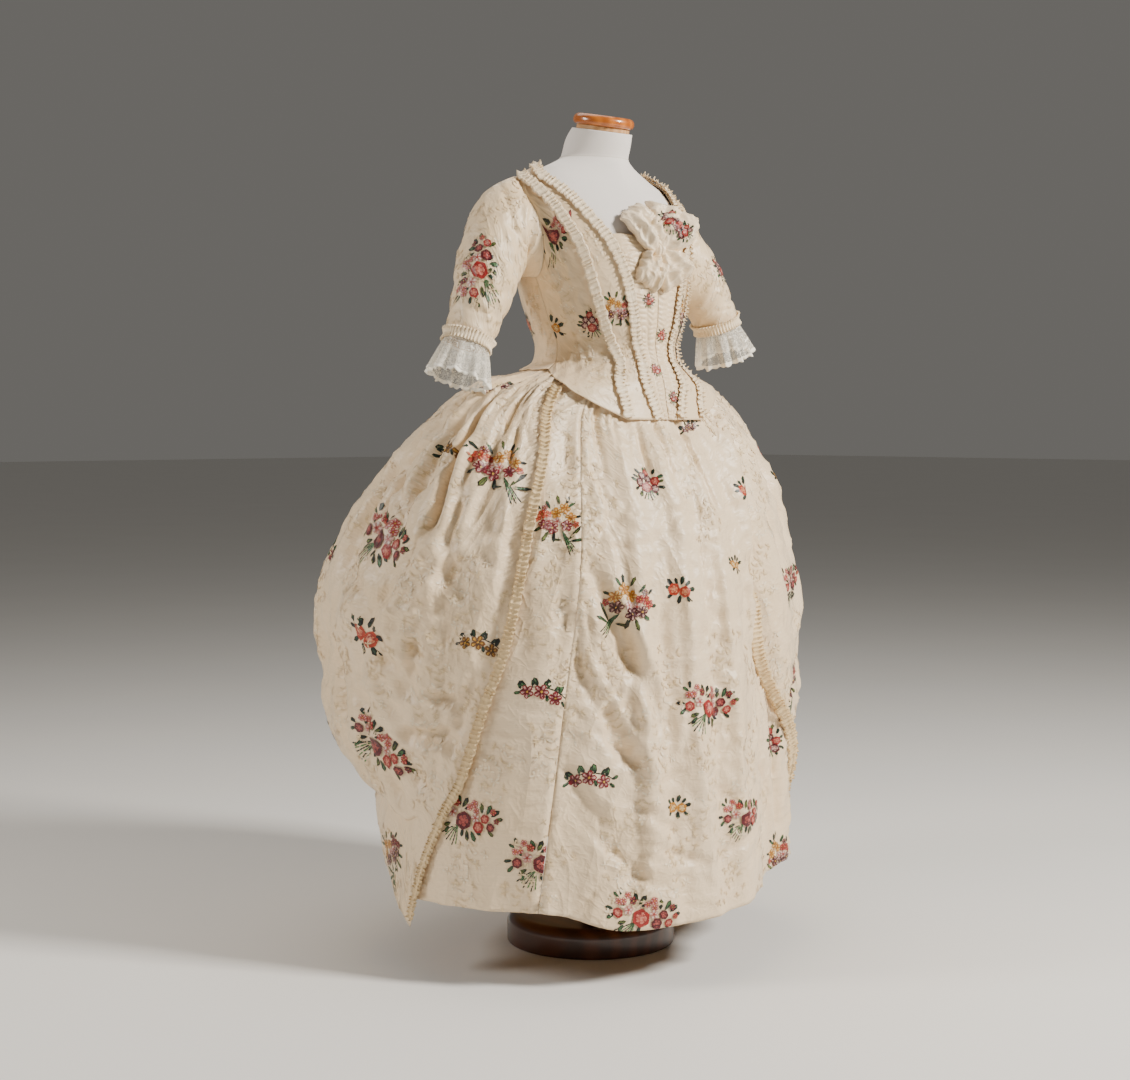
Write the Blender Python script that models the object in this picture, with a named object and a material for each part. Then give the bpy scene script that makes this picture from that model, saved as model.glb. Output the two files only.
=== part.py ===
"""A silk open robe, looped up over its petticoat, on a limbless dress form.

Units are metres, +Z is up, the dress faces -Y and its wearer's right is -X.
Angles are in degrees round the form from the centre front: 90 is the side and 180 the centre back.
"""

import bmesh
import bpy
import numpy as np

for old in list(bpy.data.objects):
    bpy.data.objects.remove(old, do_unlink=True)

# Cloth sizes
SILK_THICK = 0.002
TRIM_THICK = 0.001
LACE_THICK = 0.001
SEAM_GAP = 0.0003
SEAM_DEGREES = 0.2
SHOULDER_SEAM_DEGREES = 1.0

# The form's outside. Each row is one level cut: front and back are depths from centre_y, and fullness
# is 2 for an oval and less where the shoulders draw it in toward a diamond.
SECTION_COLUMNS = ("height", "half_width", "front", "back", "centre_y", "fullness")
FORM_SECTIONS = (
    (0.790, 0.120, 0.100, 0.105, -0.022, 2.0),
    (0.880, 0.128, 0.108, 0.112, -0.026, 2.0),
    (0.950, 0.111, 0.112, 0.108, -0.030, 2.0),
    (1.020, 0.108, 0.119, 0.107, -0.030, 2.0),
    (1.070, 0.126, 0.126, 0.118, -0.030, 2.0),
    (1.120, 0.141, 0.128, 0.130, -0.029, 2.0),
    (1.185, 0.155, 0.129, 0.138, -0.026, 2.0),
    (1.235, 0.163, 0.113, 0.134, -0.020, 2.0),
    (1.280, 0.170, 0.094, 0.104, -0.004, 1.8),
    (1.300, 0.163, 0.084, 0.083, 0.001, 1.6),
    (1.318, 0.133, 0.077, 0.062, 0.003, 1.5),
    (1.335, 0.093, 0.070, 0.050, 0.000, 1.5),
    (1.352, 0.061, 0.056, 0.054, -0.008, 1.9),
    (1.375, 0.056, 0.055, 0.055, -0.017, 2.0),
    (1.395, 0.051, 0.051, 0.051, -0.027, 2.0),
)
# The bodice's inside below the waist, where it runs out over the skirts, and on the form above
BODICE_FLARE = (
    (0.895, 0.285, 0.1590, 0.2600, -0.030, 2.0),
    (0.930, 0.252, 0.1510, 0.2300, -0.030, 2.0),
    (0.956, 0.230, 0.1470, 0.2010, -0.030, 2.0),
    (0.975, 0.178, 0.1415, 0.1640, -0.030, 2.0),
    (0.990, 0.140, 0.1360, 0.1370, -0.030, 2.0),
    (1.003, 0.120, 0.1300, 0.1190, -0.030, 2.0),
)
PETTICOAT_SECTIONS = (
    (0.080, 0.368, 0.322, 0.272, 0.000, 2.0),
    (0.300, 0.363, 0.317, 0.280, 0.000, 2.0),
    (0.500, 0.352, 0.300, 0.290, 0.000, 2.0),
    (0.630, 0.345, 0.283, 0.290, -0.005, 2.0),
    (0.695, 0.337, 0.266, 0.285, -0.008, 2.0),
    (0.765, 0.325, 0.240, 0.280, -0.012, 2.0),
    (0.800, 0.315, 0.222, 0.275, -0.015, 2.0),
    (0.860, 0.290, 0.183, 0.255, -0.024, 2.0),
    (0.905, 0.262, 0.150, 0.235, -0.030, 2.0),
    (0.930, 0.240, 0.142, 0.205, -0.030, 2.0),
    (0.956, 0.205, 0.136, 0.170, -0.030, 2.0),
    (0.975, 0.160, 0.130, 0.142, -0.030, 2.0),
    (0.995, 0.1104, 0.1184, 0.1090, -0.030, 2.0),
)
ROBE_SECTIONS = (
    (0.060, 0.385, 0.330, 0.400, 0.000, 2.0),
    (0.300, 0.388, 0.330, 0.420, 0.000, 2.0),
    (0.360, 0.410, 0.328, 0.450, 0.000, 2.0),
    (0.420, 0.425, 0.322, 0.470, 0.000, 2.0),
    (0.500, 0.420, 0.310, 0.475, 0.000, 2.0),
    (0.580, 0.427, 0.293, 0.485, 0.000, 2.0),
    (0.630, 0.420, 0.285, 0.485, -0.005, 2.0),
    (0.695, 0.402, 0.270, 0.455, -0.008, 2.0),
    (0.765, 0.378, 0.248, 0.405, -0.014, 2.0),
    (0.800, 0.362, 0.230, 0.375, -0.017, 2.0),
    (0.860, 0.330, 0.191, 0.325, -0.024, 2.0),
    (0.905, 0.298, 0.157, 0.270, -0.030, 2.0),
    (0.930, 0.272, 0.149, 0.240, -0.030, 2.0),
    (0.956, 0.237, 0.143, 0.190, -0.030, 2.0),
    (0.975, 0.172, 0.136, 0.154, -0.030, 2.0),
    (0.995, 0.120, 0.128, 0.119, -0.030, 2.0),
)

# The armhole, an oval on the form round its side
ARMHOLE_HEIGHT = 1.224
ARMHOLE_RISE = 0.080
ARMHOLE_FRONT_DEGREES = 13.0
ARMHOLE_BACK_DEGREES = 34.0
SHOULDER_RADIUS = 0.165

# Lines up the bodice front, from the lower edge to the shoulder. The side line ends at the underarm.
FRONT_LINE_COLUMNS = (
    "side_angle", "side_height", "mid_angle", "mid_height",
    "outer_angle", "outer_height", "inner_angle", "inner_height",
)
FRONT_LINES = (
    (82, 0.988, 50, 0.960, 18, 0.905, 4, 0.905),
    (83, 0.997, 53, 0.977, 22, 0.948, 8, 0.948),
    (84, 1.014, 58, 1.003, 31, 0.990, 14, 0.990),
    (85, 1.045, 63, 1.045, 41, 1.045, 18, 1.045),
    (87, 1.095, 66, 1.098, 45, 1.100, 20, 1.098),
    (90, 1.144, 68, 1.148, 48, 1.152, 24, 1.150),
    (82, 1.159, 68, 1.180, 52, 1.197, 31, 1.197),
    (74, 1.199, 69, 1.217, 57, 1.236, 39, 1.240),
    (74, 1.249, 71, 1.258, 62, 1.272, 47, 1.279),
    (82, 1.289, 77, 1.292, 72, 1.296, 66, 1.309),
    (90, 1.304, 90, 1.307, 90, 1.311, 90, 1.328),
)
UNDERARM_ROW = 5
NECKLINE_ROW = 6.25
BACK_LINE_COLUMNS = (
    "side_angle", "side_height", "strap_angle", "strap_height", "centre_angle", "centre_height",
)
BACK_LINES = (
    (82, 0.988, 130, 0.988, 180, 0.988),
    (83, 0.997, 131, 0.997, 180, 0.997),
    (84, 1.014, 132, 1.014, 180, 1.014),
    (85, 1.045, 134, 1.045, 180, 1.045),
    (87, 1.095, 136, 1.095, 180, 1.095),
    (90, 1.144, 138, 1.144, 180, 1.140),
    (109, 1.159, 142, 1.170, 180, 1.175),
    (121, 1.199, 146, 1.205, 180, 1.210),
    (121, 1.249, 148, 1.250, 180, 1.245),
    (109, 1.289, 128, 1.299, 180, 1.280),
    (90, 1.304, 90, 1.328, 180, 1.314),
)

# The right sleeve's cuts below the armhole; tilt turns each from upright to level as the arm drops
SLEEVE_COLUMNS = ("centre_x", "centre_y", "centre_z", "tilt", "half_height", "half_depth")
SLEEVE_SECTIONS = (
    (-0.1830, 0.009, 1.222, 9.0, 0.075, 0.055),
    (-0.2020, 0.009, 1.200, 29.0, 0.067, 0.055),
    (-0.2240, 0.004, 1.166, 47.0, 0.056, 0.054),
    (-0.2450, -0.003, 1.116, 61.0, 0.047, 0.049),
    (-0.2640, -0.005, 1.068, 66.0, 0.040, 0.042),
    (-0.2820, -0.006, 1.028, 67.0, 0.035, 0.037),
)
LEFT_ARM_OUT = 0.013
LEFT_ARM_FORWARD = 0.012
LEFT_ARM_LIFT = 0.046

# The robe skirt's front edges on each side, from the waist to the hem's tip
EDGE_COLUMNS = ("height", "right_angle", "left_angle")
ROBE_EDGE = (
    (0.066, 98.0, 88.0),
    (0.185, 89.0, 70.0),
    (0.275, 81.0, 57.0),
    (0.333, 75.0, 47.0),
    (0.453, 68.0, 33.0),
    (0.545, 62.0, 27.0),
    (0.716, 56.0, 24.0),
    (0.858, 51.5, 30.0),
    (0.930, 54.0, 42.0),
    (0.995, 61.0, 58.0),
)
# Round each robe skirt from its front edge, as share 0, to the centre back: the height of the puff's
# lowest fold, the fold's radius, and the height of the hem that hangs inside it
HEM_COLUMNS = ("share", "lip_height", "turn_radius", "hem_height")
ROBE_HEM = (
    (0.00, 0.300, 0.012, 0.078),
    (0.08, 0.275, 0.012, 0.092),
    (0.16, 0.255, 0.014, 0.115),
    (0.27, 0.280, 0.020, 0.150),
    (0.40, 0.292, 0.026, 0.195),
    (0.50, 0.300, 0.028, 0.225),
    (0.62, 0.340, 0.030, 0.240),
    (0.80, 0.300, 0.032, 0.240),
    (1.00, 0.345, 0.030, 0.240),
)
ROBE_TOP = 0.995
ROBE_PLEATS = 6
ROBE_PLEAT_DEPTH = 0.007
ROBE_CORNER = 0.04
PLEAT_COLUMNS = 4

PETTICOAT_TOP = 0.995
PETTICOAT_HEM_COLUMNS = ("angle", "height")
PETTICOAT_HEM = (
    (-150, 0.120),
    (-95, 0.127),
    (-53, 0.129),
    (-28, 0.097),
    (-12, 0.098),
    (8, 0.109),
    (20, 0.124),
    (50, 0.148),
    (90, 0.140),
    (150, 0.120),
    (210, 0.120),
)
PETTICOAT_PLEATS = 6
PETTICOAT_PLEAT_DEPTH = 0.005
# A deep fold falls down the petticoat's left front, beside a ridge
FOLD_ANGLE = 28.0
FOLD_WIDTH = 9.0
FOLD_DEPTH = 0.030
SEAM_COLUMNS = ("height", "right_seam", "left_seam")
PETTICOAT_SEAMS = (
    (0.094, -53.0, 52.0),
    (0.392, -47.0, 50.0),
    (0.698, -40.0, 48.0),
    (0.995, -37.0, 46.0),
)


def column(table, names, name):
    """One named column of a table, as an array."""
    return np.array([row[names.index(name)] for row in table], float)


def smooth(x, known_x, known_y):
    """A smooth curve through known points that never swings past them."""
    step = np.diff(known_x)
    slope = np.diff(known_y) / step
    bend = np.concatenate(([slope[0]], np.zeros(len(slope) - 1), [slope[-1]]))
    for i in range(1, len(slope)):
        if slope[i - 1] * slope[i] > 0:
            bend[i] = (step[i - 1] + step[i]) / (step[i - 1] / slope[i - 1] + step[i] / slope[i])
    x = np.clip(np.asarray(x, float), known_x[0], known_x[-1])
    k = np.clip(np.searchsorted(known_x, x, side="right") - 1, 0, len(step) - 1)
    t = (x - known_x[k]) / step[k]
    return (
        (1 + 2 * t) * (1 - t) ** 2 * known_y[k]
        + t * (1 - t) ** 2 * step[k] * bend[k]
        + t * t * (3 - 2 * t) * known_y[k + 1]
        + t * t * (t - 1) * step[k] * bend[k + 1]
    )


def ease(x, start, end):
    """0 before start, 1 after end and a smooth step between."""
    t = np.clip((np.asarray(x, float) - start) / (end - start), 0, 1)
    return t * t * (3 - 2 * t)


def round_form(sections, angle, height, corner=0.0):
    """Points at angles and heights on the skin that a table of level cuts describes."""
    heights = column(sections, SECTION_COLUMNS, "height")
    half_width, front, back, centre_y, fullness = (
        smooth(height, heights, column(sections, SECTION_COLUMNS, name))
        for name in SECTION_COLUMNS[1:]
    )
    angle, height = np.broadcast_arrays(np.radians(angle), height)
    swell = 1 + corner * np.where(np.cos(angle) < 0, np.sin(2 * angle) ** 2, 0)
    across, ahead = (
        np.sign(share) * np.maximum(np.abs(share), 1e-9) ** (2 / fullness)
        for share in (np.sin(angle), np.cos(angle))
    )
    x = half_width * across * swell
    y = centre_y - np.where(ahead > 0, front, back) * ahead * swell
    return np.stack([x, y, height], -1)


def normals_of(points, around=False):
    """Unit normals of a grid of points, from its neighbours along rows and columns."""
    if around:
        across = np.roll(points, -1, 1) - np.roll(points, 1, 1)
    else:
        across = np.gradient(points, axis=1)
    normal = np.cross(across, np.gradient(points, axis=0))
    return normal / np.maximum(np.linalg.norm(normal, axis=-1, keepdims=True), 1e-9)


def outward(points, around=False):
    """The grid's normals, turned to face away from the form's upright axis."""
    normal = normals_of(points, around)
    away = points - points.mean(axis=(0, 1)) if around else points * (1, 1, 0)
    return normal * np.sign((normal * away).sum())


def square_to_middle(normal):
    """The same normals, with the last column's kept in the dress's middle plane."""
    normal = normal.copy()
    normal[:, -1, 0] = 0
    return normal / np.linalg.norm(normal, axis=-1, keepdims=True)


def add_object(name, vertices, faces, material):
    """A mesh object with its faces turned outward."""
    mesh = bpy.data.meshes.new(name)
    mesh.from_pydata([tuple(v) for v in vertices], [], faces)
    shape = bmesh.new()
    shape.from_mesh(mesh)
    bmesh.ops.recalc_face_normals(shape, faces=shape.faces)
    shape.to_mesh(mesh)
    shape.free()
    mesh.materials.append(material)
    made = bpy.data.objects.new(name, mesh)
    bpy.context.scene.collection.objects.link(made)
    return made


def cloth_wall(name, inside, normal, thickness, material, around=False):
    """A closed wall: a grid of inside points, the same points moved out, and the rims between."""
    rows, columns = inside.shape[:2]
    vertices = np.concatenate([inside.reshape(-1, 3), (inside + normal * thickness).reshape(-1, 3)])
    far = rows * columns
    faces = []
    for i in range(rows - 1):
        for j in range(columns if around else columns - 1):
            a = i * columns + j
            b = i * columns + (j + 1) % columns
            faces.append((a, b, b + columns, a + columns))
            faces.append((far + a, far + a + columns, far + b + columns, far + b))
    edge = [(j, (j + 1) % columns) for j in range(columns if around else columns - 1)]
    last = (rows - 1) * columns
    rims = edge + [(last + b, last + a) for a, b in edge]
    if not around:
        down = [(i * columns, (i + 1) * columns) for i in range(rows - 1)]
        rims += [(b, a) for a, b in down]
        rims += [(a + columns - 1, b + columns - 1) for a, b in down]
    faces += [(b, a, far + a, far + b) for a, b in rims]
    return add_object(name, vertices, faces, material)


def surface(name, hex_colour, roughness):
    """A Principled material with one colour."""
    made = bpy.data.materials.new(name)
    made.use_nodes = True
    shader = made.node_tree.nodes["Principled BSDF"]
    channels = [int(hex_colour[i : i + 2], 16) / 255 for i in (0, 2, 4)]
    linear = [c / 12.92 if c < 0.04045 else ((c + 0.055) / 1.055) ** 2.4 for c in channels]
    shader.inputs["Base Color"].default_value = (*linear, 1)
    shader.inputs["Roughness"].default_value = roughness
    shader.inputs["Metallic"].default_value = 0
    return made


silk = surface("ivory_silk", "DCCDB0", 0.45)
trim_silk = surface("trim_silk", "D8C49C", 0.45)
lace = surface("cotton_lace", "EDE8DC", 0.8)
linen = surface("form_cover", "E4DFDA", 0.8)
dark_wood = surface("dark_wood", "4A2A1C", 0.4)
honey_wood = surface("honey_wood", "B5672A", 0.3)
pale_wood = surface("pale_wood", "C98F55", 0.5)


# The form's torso
FORM_SIDES = 28
FORM_ROWS = 16


def closed_round(name, rings, material):
    """A solid lofted through rings of points, with a flat face on each end."""
    rows, sides = rings.shape[:2]
    faces = [
        (i * sides + j, i * sides + (j + 1) % sides, (i + 1) * sides + (j + 1) % sides, (i + 1) * sides + j)
        for i in range(rows - 1)
        for j in range(sides)
    ]
    faces.append(tuple(range(sides)))
    faces.append(tuple((rows - 1) * sides + j for j in range(sides)))
    return add_object(name, rings.reshape(-1, 3), faces, material)


def form_torso():
    """The covered torso from its flat underside at the hip to the sloping neck top."""
    heights = column(FORM_SECTIONS, SECTION_COLUMNS, "height")
    rows = np.interp(np.linspace(0, len(heights) - 1, FORM_ROWS), np.arange(len(heights)), heights)
    angles = np.arange(FORM_SIDES) * 360 / FORM_SIDES
    rings = round_form(FORM_SECTIONS, angles[None, :], rows[:, None])
    rings[..., 2] += NECK_SLOPE * (rings[..., 1] - NECK_Y) * ease(rings[..., 2], 1.33, heights[-1])
    closed_round("form_torso", rings, linen)


# The neck's top slopes forward, with a turned collar and cap on it
NECK_SLOPE = 0.19
NECK_Y = -0.028
NECK_TOP = 1.395
COLLAR_RADIUS = 0.045
COLLAR_HEIGHT = 0.007
CAP_RADIUS = 0.052
CAP_HEIGHT = 0.018
CAP_ROUND = 0.008


def turned(name, outline, sides, material, origin, slope=0.0):
    """A turned piece: radius and height pairs spun round, on a top that slopes forward."""
    turn = np.radians(np.arange(sides) * 360 / sides)
    radius, height = np.array(outline).T[:, :, None]
    rings = np.stack(
        [radius * np.sin(turn), -radius * np.cos(turn), np.broadcast_to(height, (len(outline), sides))], -1
    )
    tilt = np.arctan(slope)
    y = rings[..., 1] * np.cos(tilt) - rings[..., 2] * np.sin(tilt)
    z = rings[..., 1] * np.sin(tilt) + rings[..., 2] * np.cos(tilt)
    rings = np.stack([rings[..., 0], y, z], -1) + np.array(origin)
    return closed_round(name, rings, material)


def rounded_edge(radius, bottom, top, edge, steps):
    """Radius and height pairs of a disc with both its edges rounded."""
    turn = np.radians(np.linspace(-90, 0, steps))
    low = [(radius - edge + edge * np.cos(t), bottom + edge + edge * np.sin(t)) for t in turn]
    high = [(r, bottom + top - h) for r, h in reversed(low)]
    return low + high


def form_neck():
    """The pale collar and the honey cap, each 0.3 mm above what carries it."""
    low = SEAM_GAP
    top = low + COLLAR_HEIGHT
    origin = (0, NECK_Y, NECK_TOP)
    turned("form_neck_collar", [(COLLAR_RADIUS, low), (COLLAR_RADIUS, top)], 24, pale_wood, origin, NECK_SLOPE)
    low = top + SEAM_GAP
    cap = rounded_edge(CAP_RADIUS, low, low + CAP_HEIGHT, CAP_ROUND, 4)
    turned("form_neck_cap", cap, 24, honey_wood, origin, NECK_SLOPE)


BASE_RADIUS = 0.146
BASE_HEIGHT = 0.050
BASE_ROUND = 0.018
BASE_FOOT_ROUND = 0.004
POST_RADIUS = 0.018
POST_SIDES = 16
BASE_SIDES = 32


def form_stand():
    """The round wooden base and the post from it up to the torso."""
    turn = np.radians(np.linspace(0, 90, 5))
    crown = [
        (BASE_RADIUS - BASE_ROUND + BASE_ROUND * np.cos(t), BASE_HEIGHT - BASE_ROUND + BASE_ROUND * np.sin(t))
        for t in turn
    ]
    foot = [(BASE_RADIUS - BASE_FOOT_ROUND, 0.0), (BASE_RADIUS, BASE_FOOT_ROUND)]
    turned("form_base", foot + crown, BASE_SIDES, dark_wood, (0, 0, 0))
    low = BASE_HEIGHT + SEAM_GAP
    high = FORM_SECTIONS[0][0] - SEAM_GAP
    turned("form_post", [(POST_RADIUS, low), (POST_RADIUS, high)], POST_SIDES, dark_wood, (0, 0, 0))


# The bodice
BODICE_ROWS = 16
PANEL_ROWS = 10
WAIST_JOIN = 1.03
FORM_CLEAR = 0.0035
SHOULDER_EASE = 0.0020


def bodice_skin(angle, height):
    """The bodice's inside: just off the form, and flared over the skirts under the waist."""
    heights = column(FORM_SECTIONS, SECTION_COLUMNS, "height")
    above = [row for row in FORM_SECTIONS if row[0] > WAIST_JOIN]
    worn = [(h, w + FORM_CLEAR, f + FORM_CLEAR, b + FORM_CLEAR, y, n) for h, w, f, b, y, n in above]
    waist = (1.0300, 0.1146, 0.1245, 0.1136, -0.030, 2.0)
    points = round_form(BODICE_FLARE + (waist,) + tuple(worn), angle, height)
    neck_rise = NECK_SLOPE * (points[..., 1] - NECK_Y) * ease(points[..., 2], 1.33, heights[-1])
    points[..., 2] += neck_rise + SHOULDER_EASE * ease(height, 1.27, 1.32)
    return points


def patch(lines, names, keys, splits, rows, last_row):
    """Angles and heights of a grid whose columns follow the named lines of a table, up to last_row."""
    at = np.linspace(0, last_row, rows + 1)
    known = np.arange(len(lines), dtype=float)
    line = {
        key: [smooth(at, known, column(lines, names, key + part)) for part in ("_angle", "_height")]
        for key in keys
    }
    angle, height = [], []
    for near, far, steps in zip(keys, keys[1:], splits):
        for share in np.linspace(0, 1, steps, endpoint=False):
            angle.append(line[near][0] * (1 - share) + line[far][0] * share)
            height.append(line[near][1] * (1 - share) + line[far][1] * share)
    angle.append(line[keys[-1]][0])
    height.append(line[keys[-1]][1])
    return np.stack(angle, 1), np.stack(height, 1)


def armhole(turn, inset):
    """Angle and height of the armhole at a turn from its top, forward being positive, drawn in by inset."""
    forward = np.sin(np.radians(turn))
    reach = np.where(forward > 0, ARMHOLE_FRONT_DEGREES, ARMHOLE_BACK_DEGREES)
    reach = reach - np.degrees(inset / SHOULDER_RADIUS)
    return 90 - reach * forward, ARMHOLE_HEIGHT + (ARMHOLE_RISE - inset) * np.cos(np.radians(turn))


def side_line(angle, height, direction):
    """The side seam's rows up to the underarm, then the armhole's: direction is 1 in front, -1 behind."""
    half = BODICE_ROWS // 2
    at = np.linspace(0, UNDERARM_ROW, half + 1)
    known = np.arange(len(FRONT_LINES))
    angle[: half + 1, 0] = np.interp(at, known, column(FRONT_LINES, FRONT_LINE_COLUMNS, "side_angle"))
    height[: half + 1, 0] = np.interp(at, known, column(FRONT_LINES, FRONT_LINE_COLUMNS, "side_height"))
    angle[half:, 0], height[half:, 0] = armhole(direction * np.linspace(180, 0, half + 1), 0.0)


def bodice_panels(side, label):
    """One half of the bodice: front, back and front panel. Returns the front's outside and normals."""
    angle, height = patch(FRONT_LINES, FRONT_LINE_COLUMNS, ("side", "mid", "outer", "inner"), (3, 3, 2),
                          BODICE_ROWS, len(FRONT_LINES) - 1)
    side_line(angle, height, 1)
    points = bodice_skin(side * angle, height)
    normal = outward(points)
    cloth_wall(f"bodice_front_{label}", points, normal, SILK_THICK, silk)
    front = points + normal * SILK_THICK

    angle, height = patch(BACK_LINES, BACK_LINE_COLUMNS, ("side", "strap", "centre"), (4, 4),
                          BODICE_ROWS, len(BACK_LINES) - 1)
    side_line(angle, height, -1)
    angle[:, 0] += SEAM_DEGREES
    angle[:, -1] -= SEAM_DEGREES
    angle[-1, :5] += SHOULDER_SEAM_DEGREES
    back = bodice_skin(side * angle, height)
    cloth_wall(f"bodice_back_{label}", back, square_to_middle(outward(back)), SILK_THICK, silk)

    angle, height = patch(FRONT_LINES, FRONT_LINE_COLUMNS, ("inner", "inner"), (3,), PANEL_ROWS, NECKLINE_ROW)
    angle = angle * np.linspace(1, 0, 4) + SEAM_DEGREES * np.array((-1, 0, 0, 1)) * np.array((1, 1, 1, 0.5))
    panel = bodice_skin(side * angle, height)
    cloth_wall(f"front_panel_{label}", panel, square_to_middle(outward(panel)), SILK_THICK, silk)
    return front, normal, panel


# The robings and their ruffles, laid on the bodice
ROBING_COLUMNS = (6, 7, 8)
ROBING_LIFT = 0.0008
RUFFLE_WAVES = 13
RUFFLE_WAVE_HEIGHT = 0.003
RUFFLE_WIDTH = 0.017
SEGMENTS_PER_WAVE = 4


def on_grid(points, normal, along, across):
    """Points and normals at fractional rows and columns of a grid, taken on its facets."""
    rows, columns = points.shape[:2]
    i = np.clip(along.astype(int), 0, rows - 2)
    j = np.clip(np.floor(across).astype(int), 0, columns - 2)
    s = (along - i)[..., None]
    t = (across - j)[..., None]
    found = []
    for grid in (points, normal):
        low = grid[i, j] * (1 - t) + grid[i, j + 1] * t
        high = grid[i + 1, j] * (1 - t) + grid[i + 1, j + 1] * t
        found.append(low * (1 - s) + high * s)
    return found[0], found[1] / np.linalg.norm(found[1], axis=-1, keepdims=True)


def ruffle(name, points, normal, line, lift, span, waves, width, wave_height):
    """A waved strip along one column line of a grid, its middle on the line."""
    count = waves * SEGMENTS_PER_WAVE + 1
    along = np.linspace(span[0], span[1], count)
    middle, out = on_grid(points, normal, along, np.full(count, float(line)))
    run = np.gradient(middle, axis=0)
    sideways = np.cross(out, run)
    sideways /= np.linalg.norm(sideways, axis=-1, keepdims=True)
    wave = wave_height * (0.5 - 0.5 * np.cos(np.arange(count) * 2 * np.pi / SEGMENTS_PER_WAVE))
    strip = np.stack(
        [middle + sideways * width * share + out * (lift + wave)[:, None] for share in (-0.5, 0.5)], 1
    )
    cloth_wall(name, strip, np.repeat(out[:, None], 2, 1), TRIM_THICK, trim_silk)


def robings(front, normal, label):
    """The flat band down one front edge, with a ruffle along each side of it."""
    columns = list(ROBING_COLUMNS)
    band = front[:, columns] + normal[:, columns] * ROBING_LIFT
    cloth_wall(f"robing_{label}", band, normal[:, columns], TRIM_THICK, silk)
    lift = ROBING_LIFT + TRIM_THICK
    for kind, line, clear in (("outer", columns[0], 0.0009), ("inner", columns[-1] - 0.15, 0.0014)):
        ruffle(f"robing_{kind}_ruffle_{label}", front, normal, line, lift + clear, (0.1, len(front) - 1.1),
               RUFFLE_WAVES, RUFFLE_WIDTH, RUFFLE_WAVE_HEIGHT)


# The breast bow on the front panels: each loop is a puffed fold of silk
BOW_COLUMNS = ("name", "out_angle", "height", "half_width", "half_height", "lift", "puff")
BOW_PIECES = (
    ("bow_upper_loop_right", -12.0, 1.218, 0.025, 0.037, 0.0057, 0.014),
    ("bow_upper_loop_left", 9.0, 1.218, 0.034, 0.037, 0.0057, 0.014),
    ("bow_lower_loop_right", -11.0, 1.147, 0.029, 0.031, 0.0060, 0.014),
    ("bow_lower_loop_left", 9.0, 1.147, 0.028, 0.031, 0.0062, 0.014),
    ("bow_knot", -1.0, 1.181, 0.012, 0.010, 0.0092, 0.008),
)
BOW_RADIUS = 0.17
BOW_GRID = 5


def bow_piece(name, angle, height, half_width, half_height, lift, puff):
    """A square of silk bulging off the breast, its corners rounded in."""
    steps = np.linspace(-1, 1, BOW_GRID + 1)
    u, v = np.meshgrid(steps, steps)
    x = half_width * u * np.sqrt(1 - 0.35 * v * v)
    z = half_height * v * np.sqrt(1 - 0.35 * u * u)
    points = round_form(FORM_SECTIONS, angle + np.degrees(x / BOW_RADIUS), height + z)
    turn = np.radians(angle)
    out = np.array((np.sin(turn), -np.cos(turn), 0))
    points = points + (lift + puff * (1 - u * u) * (1 - v * v))[..., None] * out
    normal = outward(points)
    cloth_wall(name, points, normal, SILK_THICK, silk)


def bow():
    """Four loops and the knot over their middle."""
    for row in BOW_PIECES:
        bow_piece(*row)


# The sleeves, cuff bands and lace
SLEEVE_SIDES = 16
SLEEVE_ROWS = 9
SLEEVE_INSET = 0.0056
CUFF_WAVES = 10
CUFF_WIDTH = 0.019
CUFF_WAVE_HEIGHT = 0.004
CUFF_CLEAR = {"right": 0.0022, "left": 0.0031}
LACE_WAVES = 8
LACE_LENGTH = 0.062
LACE_ROWS = 2
LACE_FLARE = 0.014
LACE_WAVE_HEIGHT = 0.006


def sleeve_axis(share):
    """Centre, upward and forward half-axes of the sleeve's cut at a share of its length."""
    known = np.linspace(0, 1, len(SLEEVE_SECTIONS))
    x, y, z, tilt, half_height, half_depth = (
        smooth(share, known, column(SLEEVE_SECTIONS, SLEEVE_COLUMNS, name)) for name in SLEEVE_COLUMNS
    )
    tilt = np.radians(tilt)
    up = np.stack([-np.sin(tilt), 0 * tilt, np.cos(tilt)], -1)
    return np.stack([x, y, z], -1), up, half_height, half_depth


def arm_pose(points, side, share):
    """Mirrors the right arm for the left side and lifts it forward toward the cuff, where share is 1."""
    if side < 0:
        return points
    lift = np.reshape(ease(share, 0.1, 1.0), (-1, 1, 1))
    return points * (-1, 1, 1) + lift * np.array((LEFT_ARM_OUT, -LEFT_ARM_FORWARD, LEFT_ARM_LIFT))


def ring_points(centre, up, half_height, half_depth, turns):
    """Points round one cut of the arm."""
    angle = np.radians(turns)
    forward = np.array((0.0, -1.0, 0.0))
    return (
        centre[:, None]
        + (np.cos(angle)[None, :, None] * up[:, None]) * half_height[:, None, None]
        + (np.sin(angle)[None, :, None] * forward) * half_depth[:, None, None]
    )


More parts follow.
